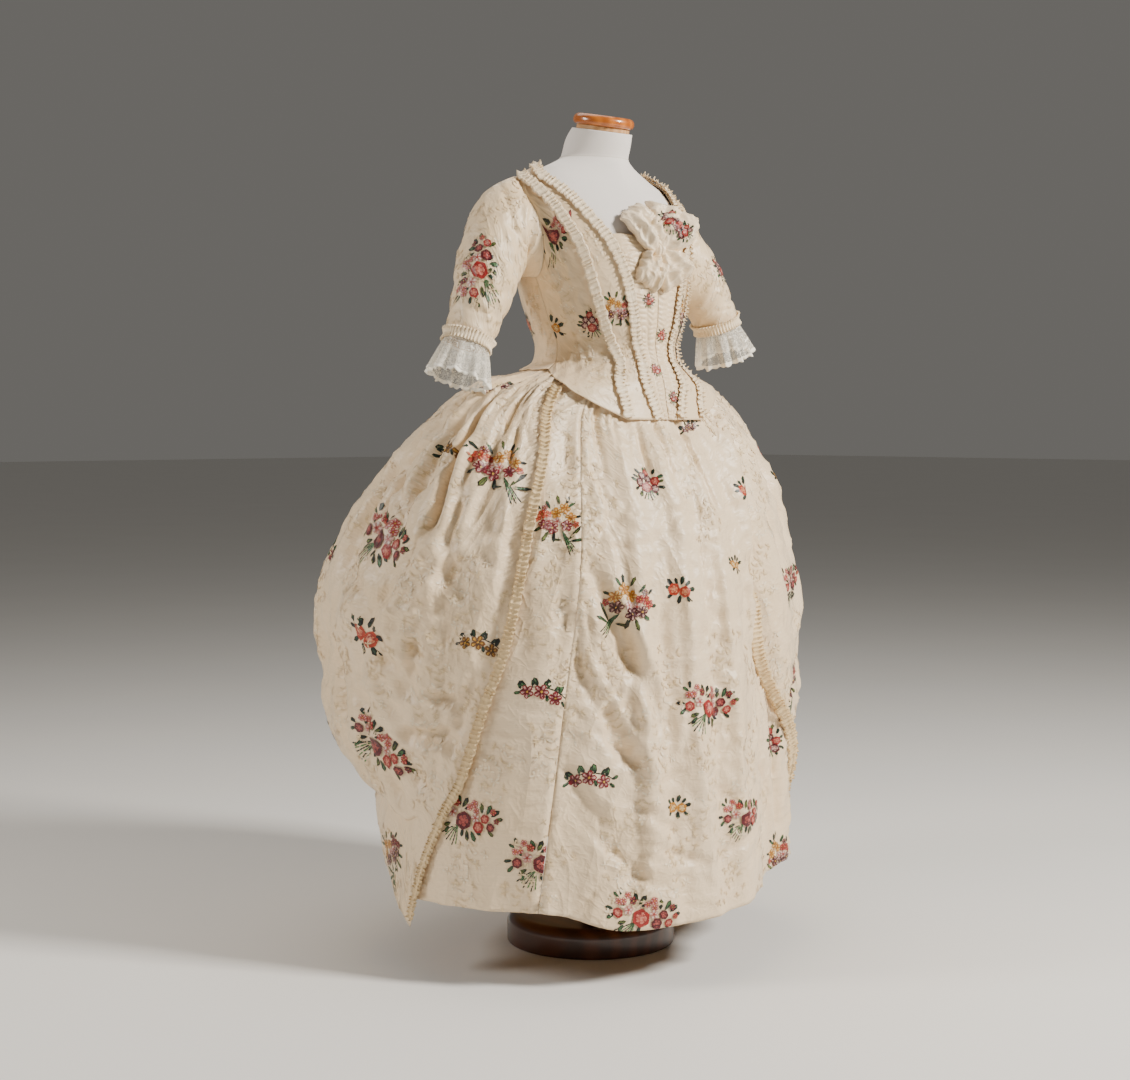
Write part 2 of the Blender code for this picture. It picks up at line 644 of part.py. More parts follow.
def sleeve(side, label):
    """A sleeve from the armhole to above the elbow, its band of gathers and its lace."""
    turns = np.arange(SLEEVE_SIDES) * 360 / SLEEVE_SIDES
    share = np.linspace(0, 1, SLEEVE_ROWS)
    centre, up, half_height, half_depth = sleeve_axis(share)
    rings = ring_points(centre, up, half_height, half_depth, turns)
    angle, height = armhole(turns, SLEEVE_INSET)
    head = bodice_skin(-angle, height)
    points = np.concatenate([head[None], rings])
    normal = outward(points, around=True)
    mirror = (-1, 1, 1) if side > 0 else 1
    points, normal = arm_pose(points, side, np.append(0, share)), normal * mirror
    cloth_wall(f"sleeve_{label}", points, normal, SILK_THICK, silk, around=True)

    count = CUFF_WAVES * SEGMENTS_PER_WAVE
    turns = np.arange(count) * 360 / count
    centre, up, half_height, half_depth = sleeve_axis(np.array((0.955, 1.0)))
    along = centre[1] - centre[0]
    along /= np.linalg.norm(along)
    centre = np.stack([centre[1] - along * (CUFF_WIDTH - 0.004), centre[1] + along * 0.004])
    up = up[[1, 1]]
    wave = CUFF_WAVE_HEIGHT * (0.5 - 0.5 * np.cos(np.arange(count) * 2 * np.pi / SEGMENTS_PER_WAVE))
    clear = SILK_THICK + CUFF_CLEAR[label]
    base = ring_points(centre, up, half_height[[1, 1]] + clear, half_depth[[1, 1]] + clear, turns)
    radial = base - centre[:, None]
    radial /= np.linalg.norm(radial, axis=-1, keepdims=True)
    band = base + radial * wave[None, :, None]
    cloth_wall(f"cuff_band_{label}", arm_pose(band, side, 1.0), radial * mirror, TRIM_THICK, trim_silk, around=True)

    count = LACE_WAVES * SEGMENTS_PER_WAVE
    turns = np.arange(count) * 360 / count
    share = np.linspace(0, 1, LACE_ROWS + 1)
    centre, up, half_height, half_depth = sleeve_axis(np.ones(LACE_ROWS + 1))
    hang = along * np.array((0.75, 1, 1))
    hang /= np.linalg.norm(hang)
    centre = centre + along * 0.0006 + hang * (LACE_LENGTH * share)[:, None]
    flare = LACE_FLARE * share**0.8 + 0.0005
    base = ring_points(centre, up, half_height + flare, half_depth + flare, turns)
    radial = base - centre[:, None]
    radial /= np.linalg.norm(radial, axis=-1, keepdims=True)
    wave = LACE_WAVE_HEIGHT * np.sin(np.arange(count) * 2 * np.pi / SEGMENTS_PER_WAVE)
    frill = base + radial * (wave * share[:, None])[..., None]
    cloth_wall(f"lace_cuff_{label}", arm_pose(frill, side, 1.0), radial * mirror, LACE_THICK, lace, around=True)


# The petticoat
PETTICOAT_ROWS = 10
PETTICOAT_SIDE_STEPS = 8
PETTICOAT_BACK_STEPS = 6
SKIRT_CLEAR = 0.0051
FOLD_CLEAR = 0.008
FOLD_CLEAR_WIDTH = 15.0


def petticoat_skin(angle, height):
    """The petticoat's inside, with soft pleats in front and the deep fold at its left."""
    points = round_form(PETTICOAT_SECTIONS, angle, height)
    angle, height = np.broadcast_arrays(angle, height)
    shown = ease(angle, -62, -50) * (1 - ease(angle, 14, 24))
    fall = ease(-height, -0.96, -0.70)
    pleat = PETTICOAT_PLEAT_DEPTH * fall * shown * (np.cos(np.radians(angle + 53) * 360 / 15.5) - 1) / 2
    fold = -FOLD_DEPTH * np.exp(-(((angle - FOLD_ANGLE) / FOLD_WIDTH) ** 2)) * ease(-height, -0.86, -0.55)
    level = np.hypot(points[..., 0], points[..., 1])
    return points * np.stack([(level + pleat + fold) / level] * 2 + [np.ones_like(level)], -1)


def petticoat():
    """Four panels: a front between two seams, two sides and a back."""
    rows = np.linspace(PETTICOAT_SEAMS[0][0], PETTICOAT_TOP, PETTICOAT_ROWS + 1)[:, None]
    known = column(PETTICOAT_SEAMS, SEAM_COLUMNS, "height")
    right = smooth(rows, known, column(PETTICOAT_SEAMS, SEAM_COLUMNS, "right_seam"))
    left = smooth(rows, known, column(PETTICOAT_SEAMS, SEAM_COLUMNS, "left_seam"))
    panels = (
        ("petticoat_front", right, left, PETTICOAT_PLEATS * PLEAT_COLUMNS),
        ("petticoat_left", left, left * 0 + 150, PETTICOAT_SIDE_STEPS),
        ("petticoat_back", left * 0 + 150, left * 0 + 210, PETTICOAT_BACK_STEPS),
        ("petticoat_right", left * 0 - 150, right, PETTICOAT_SIDE_STEPS),
    )
    for name, start, end, steps in panels:
        share = np.linspace(0, 1, steps + 1)
        inset = SEAM_DEGREES / 4
        angle = (start + inset) * (1 - share) + (end - inset) * share
        hem = smooth(angle[:1], column(PETTICOAT_HEM, PETTICOAT_HEM_COLUMNS, "angle"),
                     column(PETTICOAT_HEM, PETTICOAT_HEM_COLUMNS, "height"))
        height = hem + (PETTICOAT_TOP - hem) * np.linspace(0, 1, PETTICOAT_ROWS + 1)[:, None]
        angle = np.where(angle > 180, angle - 360, angle)
        points = petticoat_skin(angle, height)
        cloth_wall(name, points, outward(points), SILK_THICK, silk)


# The robe skirts
ROBE_OUTER_ROWS = 11
ROBE_TURN_ROWS = 4
ROBE_TAIL_ROWS = 4
ROBE_EDGE_WAVES = 22
EDGE_RUFFLE_WIDTH = 0.020
# The grid row where each edge ruffle starts, and its height off the silk
EDGE_RUFFLE_PLACE = {"right": (0.8, 0.0007), "left": (1.6, 0.0014)}
BALLOON_DEGREES = 38.0
TAIL_FULLNESS = (0.06, 0.30, 0.45, 0.30)
TAIL_SHARES = (0.0, 0.28, 0.62, 1.0)


def robe_skin(angle, height, full):
    """The robe's inside: on the petticoat where full is 0 and out at the puff where it is 1."""
    near = petticoat_skin(angle, height)
    away = near * (1, 1, 0)
    clear = SKIRT_CLEAR + FOLD_CLEAR * np.exp(-(((angle - FOLD_ANGLE) / FOLD_CLEAR_WIDTH) ** 2))
    near = near + away / np.linalg.norm(away, axis=-1, keepdims=True) * clear[..., None]
    puff = round_form(ROBE_SECTIONS, angle, height, ROBE_CORNER * ease(-height, -0.95, -0.85))
    return near * (1 - full[..., None]) + puff * full[..., None]


def robe_rows(share):
    """Heights and fullness down the skirt: out over the puff, in round its fold and down to the hem."""
    known = column(ROBE_HEM, HEM_COLUMNS, "share")
    lip, radius, hem = (smooth(share, known, column(ROBE_HEM, HEM_COLUMNS, name)) for name in HEM_COLUMNS[1:])
    down = np.linspace(0, 1, ROBE_OUTER_ROWS + 1)[:, None] ** 0.9
    outer = ROBE_TOP + (lip + radius - ROBE_TOP) * down
    turn = np.radians(np.linspace(0, 180, ROBE_TURN_ROWS + 1)[1:, None])
    inside = TAIL_FULLNESS[0]
    fold = lip + radius - radius * np.sin(turn)
    fold_full = 1 - (1 - inside) * (1 - np.cos(turn)) / 2 + 0 * share
    fall = lip + 0.8 * radius - (lip + 0.8 * radius - hem) * np.array(TAIL_SHARES)[:, None]
    fall_full = np.array(TAIL_FULLNESS)[:, None] + 0 * share
    height = np.concatenate([outer, fold, fall])
    full = np.concatenate([np.ones_like(outer), fold_full, fall_full])
    folded = ease(share, 0.03, 0.14)
    straight = ROBE_TOP + (hem - ROBE_TOP) * np.linspace(0, 1, len(height))[:, None]
    return height * folded + straight * (1 - folded), full


def robe_skirt(side, label):
    """One half of the looped-up skirt, pleated at its waist, with a ruffle down its front edge."""
    steps = np.linspace(0, 1, ROBE_PLEATS * PLEAT_COLUMNS + 1)
    share = steps**1.15
    height, full = robe_rows(share)
    known = column(ROBE_EDGE, EDGE_COLUMNS, "height")
    edge = smooth(height, known, column(ROBE_EDGE, EDGE_COLUMNS, f"{label}_angle"))
    angle = edge + (180 - SEAM_DEGREES / 4 - edge) * share
    full = full * ease(angle - edge, 0, BALLOON_DEGREES)
    points = robe_skin(side * angle, height, full)
    depth = ROBE_PLEAT_DEPTH * ease(-height, -0.985, -0.80) * (1 - ease(-height, -0.62, -0.40))
    pleat = depth * (1 - np.cos(2 * np.pi * ROBE_PLEATS * steps)) / 2 * ease(angle - edge, 2, 12)
    normal = square_to_middle(outward(points))
    points = points + normal * pleat[..., None]
    cloth_wall(f"robe_skirt_{label}", points, normal, SILK_THICK, silk)
    start, lift = EDGE_RUFFLE_PLACE[label]
    ruffle(f"robe_edge_ruffle_{label}", points + normal * SILK_THICK, normal, 0.12, lift,
           (start, len(height) - 1.3), ROBE_EDGE_WAVES, EDGE_RUFFLE_WIDTH, RUFFLE_WAVE_HEIGHT)


form_torso()
form_neck()
form_stand()
for side, label in ((-1, "right"), (1, "left")):
    front, normal, panel = bodice_panels(side, label)
    robings(front, normal, label)
    sleeve(side, label)
    robe_skirt(side, label)
bow()
petticoat()
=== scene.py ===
"""The looks of a flowered ivory silk open robe, looped up over its petticoat, on a limbless dress form.

Metres, +Z up, the dress faces -Y, and left and right are the wearer's. Angles are in degrees round the
form from its centre front: 90 is the left side, -90 the right side and 180 the centre back.
"""

import bpy
import numpy as np
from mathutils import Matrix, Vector


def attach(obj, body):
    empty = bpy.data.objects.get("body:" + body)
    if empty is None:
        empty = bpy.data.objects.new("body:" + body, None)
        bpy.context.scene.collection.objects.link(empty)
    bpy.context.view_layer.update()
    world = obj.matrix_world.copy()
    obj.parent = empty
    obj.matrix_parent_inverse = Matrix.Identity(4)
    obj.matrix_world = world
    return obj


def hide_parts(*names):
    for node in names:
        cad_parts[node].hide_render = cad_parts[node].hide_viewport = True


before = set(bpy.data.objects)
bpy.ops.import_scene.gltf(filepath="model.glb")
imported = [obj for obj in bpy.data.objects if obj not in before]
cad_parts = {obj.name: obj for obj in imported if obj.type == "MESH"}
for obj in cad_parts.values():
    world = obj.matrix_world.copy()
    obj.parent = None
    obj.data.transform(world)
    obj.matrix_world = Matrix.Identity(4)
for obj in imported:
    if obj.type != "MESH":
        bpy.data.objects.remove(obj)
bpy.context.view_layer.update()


# Studio: a plain pale floor, two soft boxes, a soft top light and the photograph's camera.
# The floor is painted board, matt and even, and it takes the dress's shadow.
def linear(hex_colour):
    """An sRGB hex colour as linear red, green, blue and alpha."""
    channels = [int(hex_colour[i : i + 2], 16) / 255 for i in (0, 2, 4)]
    return (*(c / 12.92 if c < 0.04045 else ((c + 0.055) / 1.055) ** 2.4 for c in channels), 1.0)


def add(tree, kind, settings=(), inputs=()):
    """Adds a node: settings are its properties, inputs its sockets' values or the outputs that feed them."""
    made = tree.nodes.new(kind)
    for name, value in dict(settings).items():
        setattr(made, name, value)
    for name, value in dict(inputs).items():
        if isinstance(value, bpy.types.NodeSocket):
            tree.links.new(value, made.inputs[name])
        else:
            made.inputs[name].default_value = value
    return made


def blend(tree, factor, first, last):
    """A colour that factor carries from one hex colour to another."""
    inputs = {"Factor": factor, "A": linear(first), "B": linear(last)}
    return add(tree, "ShaderNodeMix", {"data_type": "RGBA"}, inputs).outputs["Result"]


def noise(tree, at, scale, detail, **more):
    """Soft noise from 0 to 1 at the places at. more gives other sockets by name."""
    inputs = {"Vector": at, "Scale": scale, "Detail": detail, **more}
    return add(tree, "ShaderNodeTexNoise", {}, inputs).outputs["Fac"]


def relief(tree, height, distance, strength, **more):
    """Normals of a relief that is distance metres deep. more gives other sockets by name."""
    inputs = {"Height": height, "Distance": distance, "Strength": strength, **more}
    return add(tree, "ShaderNodeBump", {}, inputs).outputs["Normal"]


def maths(tree, operation, *values):
    """The value of a sum or a test of values."""
    return add(tree, "ShaderNodeMath", {"operation": operation}, enumerate(values)).outputs["Value"]


def ranged(tree, value, start, end, low, high):
    """A value carried from the range start to end into the range low to high."""
    inputs = {"Value": value, "From Min": start, "From Max": end, "To Min": low, "To Max": high}
    return add(tree, "ShaderNodeMapRange", {}, inputs).outputs["Result"]


def material(name, hex_colour, roughness, **more):
    """A Principled material with one base colour. more gives other sockets by name, spaces as underscores."""
    made = bpy.data.materials.new(name)
    made.use_nodes = True
    shader = made.node_tree.nodes["Principled BSDF"]
    shader.inputs["Base Color"].default_value = linear(hex_colour)
    shader.inputs["Roughness"].default_value = roughness
    for socket, value in more.items():
        shader.inputs[socket.replace("_", " ")].default_value = value
    return made, made.node_tree, shader


def mesh_object(name, vertices, faces, finish, smooth=True):
    """A mesh object from an array of vertices and a list of faces, standing at the origin."""
    mesh = bpy.data.meshes.new(name)
    mesh.from_pydata(np.asarray(vertices).tolist(), [], faces)
    mesh.materials.append(finish)
    if smooth:
        mesh.polygons.foreach_set("use_smooth", [True] * len(mesh.polygons))
    made = bpy.data.objects.new(name, mesh)
    bpy.context.scene.collection.objects.link(made)
    return made


board, tree, shader = material("painted_board_floor", "E9E7E3", 0.85)
spot = add(tree, "ShaderNodeTexCoord").outputs["Object"]
tree.links.new(blend(tree, noise(tree, spot, 1.5, 3.0), "EBE9E5", "E6E4E0"), shader.inputs["Base Color"])
FLOOR_HALF = 40.0
corners = [(-FLOOR_HALF, -FLOOR_HALF, 0), (FLOOR_HALF, -FLOOR_HALF, 0), (FLOOR_HALF, FLOOR_HALF, 0),
           (-FLOOR_HALF, FLOOR_HALF, 0)]
floor = mesh_object("studio_floor", corners, [(0, 1, 2, 3)], board, smooth=False)

world = bpy.data.worlds.new("studio_air")
bpy.context.scene.world = world
world.use_nodes = True
world.node_tree.nodes["Background"].inputs["Color"].default_value = linear("DDD9D2")
world.node_tree.nodes["Background"].inputs["Strength"].default_value = 0.20


def soft_box(name, place, aim, width, height, watts, hex_colour):
    """A rectangular area light at place, turned to aim."""
    lamp = bpy.data.lights.new(name, "AREA")
    lamp.shape = "RECTANGLE"
    lamp.size = width
    lamp.size_y = height
    lamp.energy = watts
    lamp.color = linear(hex_colour)[:3]
    made = bpy.data.objects.new(name, lamp)
    made.location = place
    made.rotation_euler = (Vector(aim) - Vector(place)).to_track_quat("-Z", "Y").to_euler()
    bpy.context.scene.collection.objects.link(made)


soft_box("key_box", (1.3, -3.2, 2.9), (0, 0, 0.75), 0.7, 0.8, 306, "FFFAF2")
soft_box("fill_box", (-3.0, 1.5, 2.1), (-0.2, 0, 0.55), 0.9, 0.9, 68, "FFF8F0")
soft_box("top_box", (0.2, 0.9, 3.2), (0, 0, 0.9), 2.2, 2.2, 24, "FFF8EE")

camera = bpy.data.objects.new("camera", bpy.data.cameras.new("camera"))
bpy.context.scene.collection.objects.link(camera)
bpy.context.scene.camera = camera
camera.data.sensor_fit = "HORIZONTAL"
camera.data.sensor_width = 36.0
camera.data.lens = 62.7
camera.location = (-2.3188, -2.4866, 0.900)
camera_aim = Vector((-0.0371, 0.0260, 0.6984))
camera.rotation_euler = (camera_aim - camera.location).to_track_quat("-Z", "Y").to_euler()


# The form's torso: a hollow moulded shell covered in stretched off-white jersey, sewn round the neck.
# Its matt knit gives a soft, even tone with no highlights.
SECTION_COLUMNS = ("height", "half_width", "front", "back", "centre_y", "fullness")
FORM_SECTIONS = (
    (0.790, 0.120, 0.100, 0.105, -0.022, 2.0),
    (0.880, 0.128, 0.108, 0.112, -0.026, 2.0),
    (0.950, 0.111, 0.112, 0.108, -0.030, 2.0),
    (1.020, 0.108, 0.119, 0.107, -0.030, 2.0),
    (1.070, 0.126, 0.126, 0.118, -0.030, 2.0),
    (1.120, 0.141, 0.128, 0.130, -0.029, 2.0),
    (1.185, 0.155, 0.129, 0.138, -0.026, 2.0),
    (1.235, 0.163, 0.113, 0.134, -0.020, 2.0),
    (1.280, 0.170, 0.094, 0.104, -0.004, 1.8),
    (1.300, 0.163, 0.084, 0.083, 0.001, 1.6),
    (1.318, 0.133, 0.077, 0.062, 0.003, 1.5),
    (1.335, 0.093, 0.070, 0.050, 0.000, 1.5),
    (1.352, 0.061, 0.056, 0.054, -0.008, 1.9),
    (1.375, 0.056, 0.055, 0.055, -0.017, 2.0),
    (1.395, 0.051, 0.051, 0.051, -0.027, 2.0),
)
NECK_SLOPE = 0.19
NECK_FOOT = 1.33
NECK_Y = -0.028


def column(table, names, name):
    """One named column of a table, as an array."""
    return np.array([row[names.index(name)] for row in table], float)


def smooth(x, known_x, known_y):
    """A curve through known points: a cubic between each two, whose slopes are the harmonic means of
    the chords on both sides, so that it never swings past a point."""
    step = np.diff(known_x)
    slope = np.diff(known_y) / step
    bend = np.concatenate(([slope[0]], np.zeros(len(slope) - 1), [slope[-1]]))
    for i in range(1, len(slope)):
        if slope[i - 1] * slope[i] > 0:
            bend[i] = (step[i - 1] + step[i]) / (step[i - 1] / slope[i - 1] + step[i] / slope[i])
    x = np.clip(np.asarray(x, float), known_x[0], known_x[-1])
    k = np.clip(np.searchsorted(known_x, x, side="right") - 1, 0, len(step) - 1)
    t = (x - known_x[k]) / step[k]
    return (
        (1 + 2 * t) * (1 - t) ** 2 * known_y[k]
        + t * (1 - t) ** 2 * step[k] * bend[k]
        + t * t * (3 - 2 * t) * known_y[k + 1]
        + t * t * (t - 1) * step[k] * bend[k + 1]
    )


def ease(x, start, end):
    """0 before start, 1 after end and 3tt - 2ttt between."""
    t = np.clip((np.asarray(x, float) - start) / (end - start), 0, 1)
    return t * t * (3 - 2 * t)


def round_form(sections, angle, height, corner=0.0):
    """Points at angles and heights on a form of level cuts: each cut is an oval, or nearer a diamond
    where fullness is under 2, with its own front and back depth. corner swells the back's corners."""
    heights = column(sections, SECTION_COLUMNS, "height")
    half_width, front, back, centre_y, fullness = (
        smooth(height, heights, column(sections, SECTION_COLUMNS, name)) for name in SECTION_COLUMNS[1:]
    )
    angle, height = np.broadcast_arrays(np.radians(angle), height)
    swell = 1 + corner * np.where(np.cos(angle) < 0, np.sin(2 * angle) ** 2, 0)
    across, ahead = (
        np.sign(share) * np.maximum(np.abs(share), 1e-9) ** (2 / fullness)
        for share in (np.sin(angle), np.cos(angle))
    )
    x = half_width * across * swell
    y = centre_y - np.where(ahead > 0, front, back) * ahead * swell
    return np.stack([x, y, height], -1)


def neck_rise(points):
    """How far the neck's slope lifts points on the form: fully at its top and not at all at its foot."""
    return NECK_SLOPE * (points[..., 1] - NECK_Y) * ease(points[..., 2], NECK_FOOT, FORM_SECTIONS[-1][0])


def unit(vectors):
    """The same directions at length one."""
    return vectors / np.maximum(np.linalg.norm(vectors, axis=-1, keepdims=True), 1e-12)


def outward(points, around=False):
    """Unit normals of a grid, from its rows and columns, turned away from the form's axis. A ring's
    normals face away from the ring's own middle."""
    if around:
        across = np.roll(points, -1, 1) - np.roll(points, 1, 1)
        away = points - points.mean(axis=(0, 1))
    else:
        across = np.gradient(points, axis=1)
        away = points * (1, 1, 0)
    normal = unit(np.cross(across, np.gradient(points, axis=0)))
    return normal * np.sign((normal * away).sum())


def grid_faces(rows, columns, around, flip):
    """Four-cornered faces between neighbours of a grid, closed round when around."""
    i, j = np.meshgrid(np.arange(rows - 1), np.arange(columns if around else columns - 1), indexing="ij")
    a = (i * columns + j).ravel()
    b = (i * columns + (j + 1) % columns).ravel()
    order = [a, a + columns, b + columns, b] if flip else [a, b, b + columns, a + columns]
    return np.stack(order, 1).tolist()


def faces_point_in(points, normal):
    """Whether a grid's faces, taken row by row, face against its normals."""
    face = np.cross(points[:-1, 1:] - points[:-1, :-1], points[1:, :-1] - points[:-1, :-1])
    return (face * normal[:-1, :-1]).sum() < 0


def lofted(name, rings, finish, node):
    """A closed solid through rings of points, with a fan of faces on each end."""
    rows, sides = rings.shape[:2]
    vertices = np.concatenate([rings.reshape(-1, 3), rings[0].mean(0)[None], rings[-1].mean(0)[None]])
    flip = faces_point_in(rings, outward(rings, around=True))
    faces = grid_faces(rows, sides, True, flip)
    j = np.arange(sides)
    low = np.stack([np.full(sides, rows * sides), (j + 1) % sides, j], 1)
    high = np.stack([np.full(sides, rows * sides + 1), j + (rows - 1) * sides,
                     (j + 1) % sides + (rows - 1) * sides], 1)
    faces += (low[:, ::-1] if flip else low).tolist()
    faces += (high[:, ::-1] if flip else high).tolist()
    made = mesh_object(name, vertices, faces, finish)
    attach(made, "root")
    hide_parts(node)


jersey, tree, shader = material("stretched_cotton_jersey", "FAF5EE", 0.88, Sheen_Weight=0.25,
                                Sheen_Roughness=0.5)
spot = add(tree, "ShaderNodeTexCoord").outputs["Object"]
soil = noise(tree, spot, 9.0, 4.0)
knit = noise(tree, spot, 420.0, 2.0)
tree.links.new(blend(tree, soil, "E9E3DD", "E0D9D2"), shader.inputs["Base Color"])
tree.links.new(relief(tree, knit, 0.0004, 0.35), shader.inputs["Normal"])

TORSO_SIDES = 96
TORSO_ROWS = 120
heights = column(FORM_SECTIONS, SECTION_COLUMNS, "height")
rows = np.interp(np.linspace(0, len(heights) - 1, TORSO_ROWS), np.arange(len(heights)), heights)
around = np.arange(TORSO_SIDES) * 360 / TORSO_SIDES
torso = round_form(FORM_SECTIONS, around[None, :], rows[:, None])
torso[..., 2] += neck_rise(torso)
lofted("form_torso_cover", torso, jersey, "form_torso")

# The jersey has two narrow flat seams, one round the neck's foot and one up its side; only the one round the
# neck's foot is drawn.
NECK_SEAM_HEIGHT = 1.349
NECK_SEAM_HALF = 0.0009
NECK_SEAM_Y = -0.008
SEAM_PROUD = 0.0005
SEAM_EDGE_PROUD = 0.0001
seam_finish, tree, shader = material("jersey_seam", "D6CEC4", 0.9)
seam_rings = []
for offset, proud in ((-NECK_SEAM_HALF, SEAM_EDGE_PROUD), (0, SEAM_PROUD), (NECK_SEAM_HALF, SEAM_EDGE_PROUD)):
    ring = round_form(FORM_SECTIONS, around, np.full(TORSO_SIDES, NECK_SEAM_HEIGHT + offset))
    ring[:, 2] += neck_rise(ring)
    seam_rings.append(ring + unit(ring * (1, 1, 0) - (0, NECK_SEAM_Y, 0)) * proud)
seam_grid = np.array(seam_rings)
flip = faces_point_in(seam_grid, outward(seam_grid, True))
neck_seam = mesh_object("form_neck_seam", seam_grid.reshape(-1, 3),
                        grid_faces(len(seam_grid), TORSO_SIDES, True, flip), seam_finish)
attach(neck_seam, "root")


# The form's woodwork: a turned beech collar and a honey-varnished cap on the neck, and a dark-stained
# base and post. Turned wood shows long grain across a top and rings round an edge, under gloss.
def wood(name, light, dark, roughness, grain_scale, coat):
    """Varnished wood: stretched noise bends the growth lines, with fine pores over them."""
    made, tree, shader = material(name, light, roughness, Coat_Weight=coat, Coat_Roughness=0.12)
    spot = add(tree, "ShaderNodeTexCoord").outputs["Object"]
    along = add(tree, "ShaderNodeMapping", {}, {"Vector": spot, "Scale": (1.0, 0.16, 1.0)}).outputs["Vector"]
    waves = add(tree, "ShaderNodeTexWave", {"wave_type": "BANDS", "bands_direction": "X"},
                {"Vector": along, "Scale": grain_scale, "Distortion": 5.5, "Detail": 3.0}).outputs["Fac"]
    grain = maths(tree, "MULTIPLY_ADD", noise(tree, along, 320.0, 3.0), 0.35, waves)
    tree.links.new(blend(tree, grain, light, dark), shader.inputs["Base Color"])
    tree.links.new(relief(tree, grain, 0.0003, 0.25), shader.inputs["Normal"])
    return made


honey = wood("honey_varnished_beech", "C97426", "A85816", 0.3, 16.0, 0.7)
beech = wood("bare_beech", "D3A878", "B98A58", 0.6, 30.0, 0.0)
walnut = wood("dark_stained_beech", "5C2E14", "3E1E0C", 0.32, 9.0, 0.5)


def turned(name, outline, sides, finish, origin, slope, node):
    """A turned piece: radius and height pairs spun round, tilted forward by slope about the side axis."""
    turn = np.radians(np.arange(sides) * 360 / sides)
    radius, height = np.array(outline).T[:, :, None]
    rings = np.stack([radius * np.sin(turn), -radius * np.cos(turn),
                      np.broadcast_to(height, (len(outline), sides))], -1)
    tilt = np.arctan(slope)
    y = rings[..., 1] * np.cos(tilt) - rings[..., 2] * np.sin(tilt)
    z = rings[..., 1] * np.sin(tilt) + rings[..., 2] * np.cos(tilt)
    lofted(name, np.stack([rings[..., 0], y, z], -1) + np.array(origin), finish, node)


def disc_outline(radius, bottom, height, low_round, high_round, steps=9):
    """Radius and height pairs of a disc whose edges are quarter circles of their own radii."""
    top = bottom + height
    low, high = [], []
    for t in np.radians(np.linspace(0, 90, steps)):
        low.append((radius - low_round + low_round * np.sin(t), bottom + low_round - low_round * np.cos(t)))
        high.append((radius - high_round + high_round * np.cos(t), top - high_round + high_round * np.sin(t)))
    return [(0.35 * radius, bottom)] + low + high + [(0.6 * radius, top), (0.25 * radius, top)]


NECK_TOP = (0.0, NECK_Y, 1.395)
turned("form_neck_collar_wood", disc_outline(0.045, 0.0003, 0.007, 0.0008, 0.0012, 4), 72, beech, NECK_TOP,
       NECK_SLOPE, "form_neck_collar")
turned("form_neck_cap_wood", disc_outline(0.052, 0.0076, 0.018, 0.007, 0.009, 10), 96, honey, NECK_TOP,
       NECK_SLOPE, "form_neck_cap")
turned("form_base_wood", disc_outline(0.146, 0.0, 0.050, 0.004, 0.018, 12), 128, walnut, (0, 0, 0), 0.0,
       "form_base")
post = [(0.018, 0.0503), (0.018, 0.30), (0.018, 0.55), (0.018, 0.7897)]
turned("form_post_wood", post, 48, walnut, (0, 0, 0), 0.0, "form_post")


# The petticoat: four widths of brocaded silk, pleated into a waist tape, seamed down and hemmed by
# hand with small running stitches. Crisp silk hangs in soft pleats and crumples into sharp small folds.
def ridged(tree, at, scale, detail, distortion):
    """Noise folded into crisp ridges, as crumpled silk has them."""
    return add(tree, "ShaderNodeTexNoise", {"noise_type": "RIDGED_MULTIFRACTAL", "normalize": True},
               {"Vector": at, "Scale": scale, "Detail": detail, "Roughness": 0.4, "Lacunarity": 2.3,
                "Distortion": distortion, "Offset": 0.9, "Gain": 1.5}).outputs["Fac"]


def silk(name, light, dark, gloss, crumple, inlaid=False):
    """Hand-woven silk: uneven crosswise threads, colour clouded by age, and crisp small crumples. Its
    threads lie 0.3 mm apart and are drawn 3 mm apart, so that they show. Inlaid silk is the brocading
    weft on it, whose colours come from the piece's own attribute."""
    made, tree, shader = material(name, light, gloss, Sheen_Weight=0.22, Sheen_Roughness=0.35,
                                  Specular_IOR_Level=0.5)
    uv = add(tree, "ShaderNodeTexCoord").outputs["UV"]
    threads_at = add(tree, "ShaderNodeMapping", {},
                     {"Vector": uv, "Scale": (28.0, 330.0, 1.0)}).outputs["Vector"]
    hanging = add(tree, "ShaderNodeMapping", {},
                  {"Vector": uv, "Scale": (1.5, 0.55, 1.0), "Rotation": (0, 0, 0.12)}).outputs["Vector"]
    threads = noise(tree, threads_at, 1.0, 3.0, Roughness=0.6)
    cloud = noise(tree, uv, 5.0, 4.0, Roughness=0.6)
    ground = blend(tree, cloud, light, dark)
    if inlaid:
        ground = add(tree, "ShaderNodeAttribute", {"attribute_name": "thread_colour"}).outputs["Color"]
    tint = ranged(tree, threads, 0.3, 0.7, *((0.78, 1.16) if inlaid else (0.95, 1.04)))
    tinted = add(tree, "ShaderNodeVectorMath", {"operation": "SCALE"}, {0: ground, "Scale": tint})
    crumples = maths(tree, "MULTIPLY_ADD", ridged(tree, uv, 75.0, 1.0, 0.6), 0.11,
                     ridged(tree, hanging, 8.0, 1.5, 0.5))
    crumples = maths(tree, "MULTIPLY_ADD", ridged(tree, uv, 27.0, 1.0, 0.9),
                     ranged(tree, cloud, 0.45, 0.62, 0.0, 0.42), crumples)
    creased = relief(tree, crumples, crumple, 0.7)
    tree.links.new(tinted.outputs["Vector"], shader.inputs["Base Color"])
    tree.links.new(relief(tree, threads, 0.0005, 0.6, Normal=creased), shader.inputs["Normal"])
    return made


